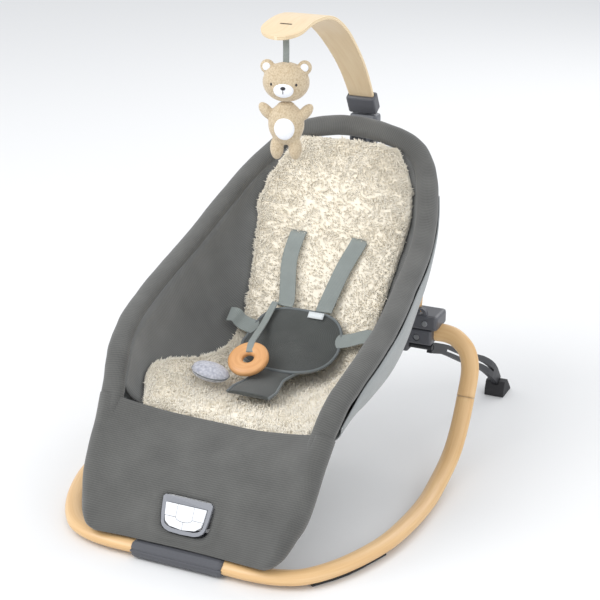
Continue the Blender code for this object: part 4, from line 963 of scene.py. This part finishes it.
for back in (-0.0018, 0.0018):
    slot_rows.append(placed([(x, 0.3320 + back, 0.63165 + 0.3 * back) for x in slot_across]))
slot_shade_sheet = skin("bar_slot_painted_shade", slot_rows, slot_shade_look.material, "toy_bar_arm")

# ---------------------------------------------------------------- bear
# A knitted cotton bear, stuffed soft, with felt patches on its muzzle and tummy. It hangs on a ribbon.

knit = Finish("knit", 0.95, Sheen_Weight=0.4)
knot = knit.node("ShaderNodeTexVoronoi", {"feature": "SMOOTH_F1"}, Vector=knit.place(), Scale=520.0)
knit_share = knot * 1.1 + knit.speckle(40.0) * 0.25
knit.set("Base Color", knit.between(knit_share, tint(222, 206, 178), tint(178, 158, 128)))
knit.relief(1 - knot, 0.0007, 0.8)
felt = Finish("felt", 0.95, Sheen_Weight=0.3)
felt_fibre = felt.speckle(700.0, 4.0)
felt.set("Base Color", felt.between(felt_fibre, tint(226, 228, 236), tint(248, 249, 252)))
felt.relief(felt_fibre, 0.0002, 0.5)
thread = Finish("black_thread", 0.5)
thread_turn = thread.speckle(1500.0)
thread.set("Base Color", thread.between(thread_turn, tint(28, 28, 32), tint(52, 50, 54)))
thread.relief(thread_turn, 0.0001, 0.5)


def stuffed(name, balls, place, node, body):
    """Balls joined into one stuffed form with no seams between them."""
    build = bmesh.new()
    for centre, radii, lean_angle in balls:
        leaning = Matrix.Rotation(radians(lean_angle), 4, "Y") @ Matrix.Diagonal((*radii, 1))
        ball_at = place @ Matrix.Translation(centre) @ leaning
        bmesh.ops.create_uvsphere(build, u_segments=32, v_segments=20, radius=1, matrix=ball_at)
    mesh = bpy.data.meshes.new(name)
    build.to_mesh(mesh)
    build.free()
    made = bpy.data.objects.new(name, mesh)
    bpy.context.scene.collection.objects.link(made)
    join = made.modifiers.new("join", "REMESH")
    join.mode, join.voxel_size = "VOXEL", 0.0012
    soften = made.modifiers.new("soften", "SMOOTH")
    soften.factor, soften.iterations = 0.5, 10
    graph = bpy.context.evaluated_depsgraph_get()
    mesh = bpy.data.meshes.new_from_object(made.evaluated_get(graph), depsgraph=graph)
    made.modifiers.clear()
    made.data = mesh
    mesh.polygons.foreach_set("use_smooth", [True] * len(mesh.polygons))
    mesh.materials.clear()
    mesh.materials.append(knit.material)
    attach(made, body)
    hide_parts(node)


def patch(name, place, centre, radii, look):
    """A thin domed patch sewn on."""
    x, y, z = centre
    wide, deep, high = radii
    around_patch = np.linspace(0, 2 * pi, 24, endpoint=False)
    rows = []
    for t in np.linspace(0.02, pi - 0.02, 15):
        w, d, h = wide * sin(t), deep * cos(t), high * sin(t)
        rows.append([place @ Vector((x + w * cos(u), y + d, z + h * sin(u))) for u in around_patch])
    made = skin(name, rows, look, "bear", ring=True, caps=True)


BEAR_BACK = 0.332
BAR_UNDERSIDE, RIBBON_LENGTH, PIECE_GAP = 0.6235, 0.041, 0.0003
HEAD_UP, TRUNK_UP = 0.027, 0.0325  # from the middle of each to its bottom or top
facing = Matrix.Rotation(radians(15), 4, "Z")
head_z = BAR_UNDERSIDE - RIBBON_LENGTH - PIECE_GAP - HEAD_UP
head_at = Matrix.Translation((0, BEAR_BACK - FRONT_TO_MIDDLE, head_z)) @ facing
head_balls = [((0, 0, 0), (0.0315, 0.0225, 0.0265), 0)]
head_balls += [((s * 0.0250, 0, 0.0200), (0.0098, 0.0060, 0.0098), 0) for s in (-1, 1)]
stuffed("bear_head_stuffed", head_balls, head_at, "bear_head", "bear")
trunk_z = head_z - HEAD_UP - TRUNK_UP - PIECE_GAP
trunk_at = Matrix.Translation((0, BEAR_BACK - FRONT_TO_MIDDLE, trunk_z)) @ facing
trunk_balls = [((0, 0, 0.0035), (0.0245, 0.0180, 0.0290), 0), ((0, 0, 0.028), (0.012, 0.010, 0.006), 0)]
trunk_balls += [((s * 0.0262, -0.002, 0.0200), (0.0078, 0.0072, 0.0142), s * 40) for s in (-1, 1)]
trunk_balls += [((s * 0.0125, -0.002, -0.0295), (0.0093, 0.0088, 0.0165), 0) for s in (-1, 1)]
stuffed("bear_body_stuffed", trunk_balls, trunk_at, "bear_body", "bear")
patch("bear_muzzle", head_at, (0, -0.0200, -0.0070), (0.0135, 0.0055, 0.0100), felt.material)
patch("bear_nose", head_at, (0, -0.0252, -0.0035), (0.0034, 0.0018, 0.0024), thread.material)
for side_name, side in SIDES:
    eye_centre, ear_centre = (side * 0.0165, -0.0185, 0.0005), (side * 0.0252, -0.0045, 0.0205)
    patch(f"bear_eye_{side_name}", head_at, eye_centre, (0.0017, 0.0014, 0.0021), thread.material)
    patch(f"bear_ear_felt_{side_name}", head_at, ear_centre, (0.0055, 0.0022, 0.0055), felt.material)
patch("bear_mouth", head_at, (0, -0.0254, -0.0085), (0.0005, 0.0008, 0.0026), thread.material)
patch("bear_tummy", trunk_at, (0, -0.0150, 0.0000), (0.0138, 0.0045, 0.0155), felt.material)
ribbon_route = ((0, 0.332, 0.6300), (0, 0.332, 0.6200), (0.0006, 0.3315, 0.6000), (0, 0.332, 0.5800))
strap("bear_ribbon", ribbon_route, (1, 0, 0), 0.009, "toy_ribbon", body="bear", thick=0.0016)
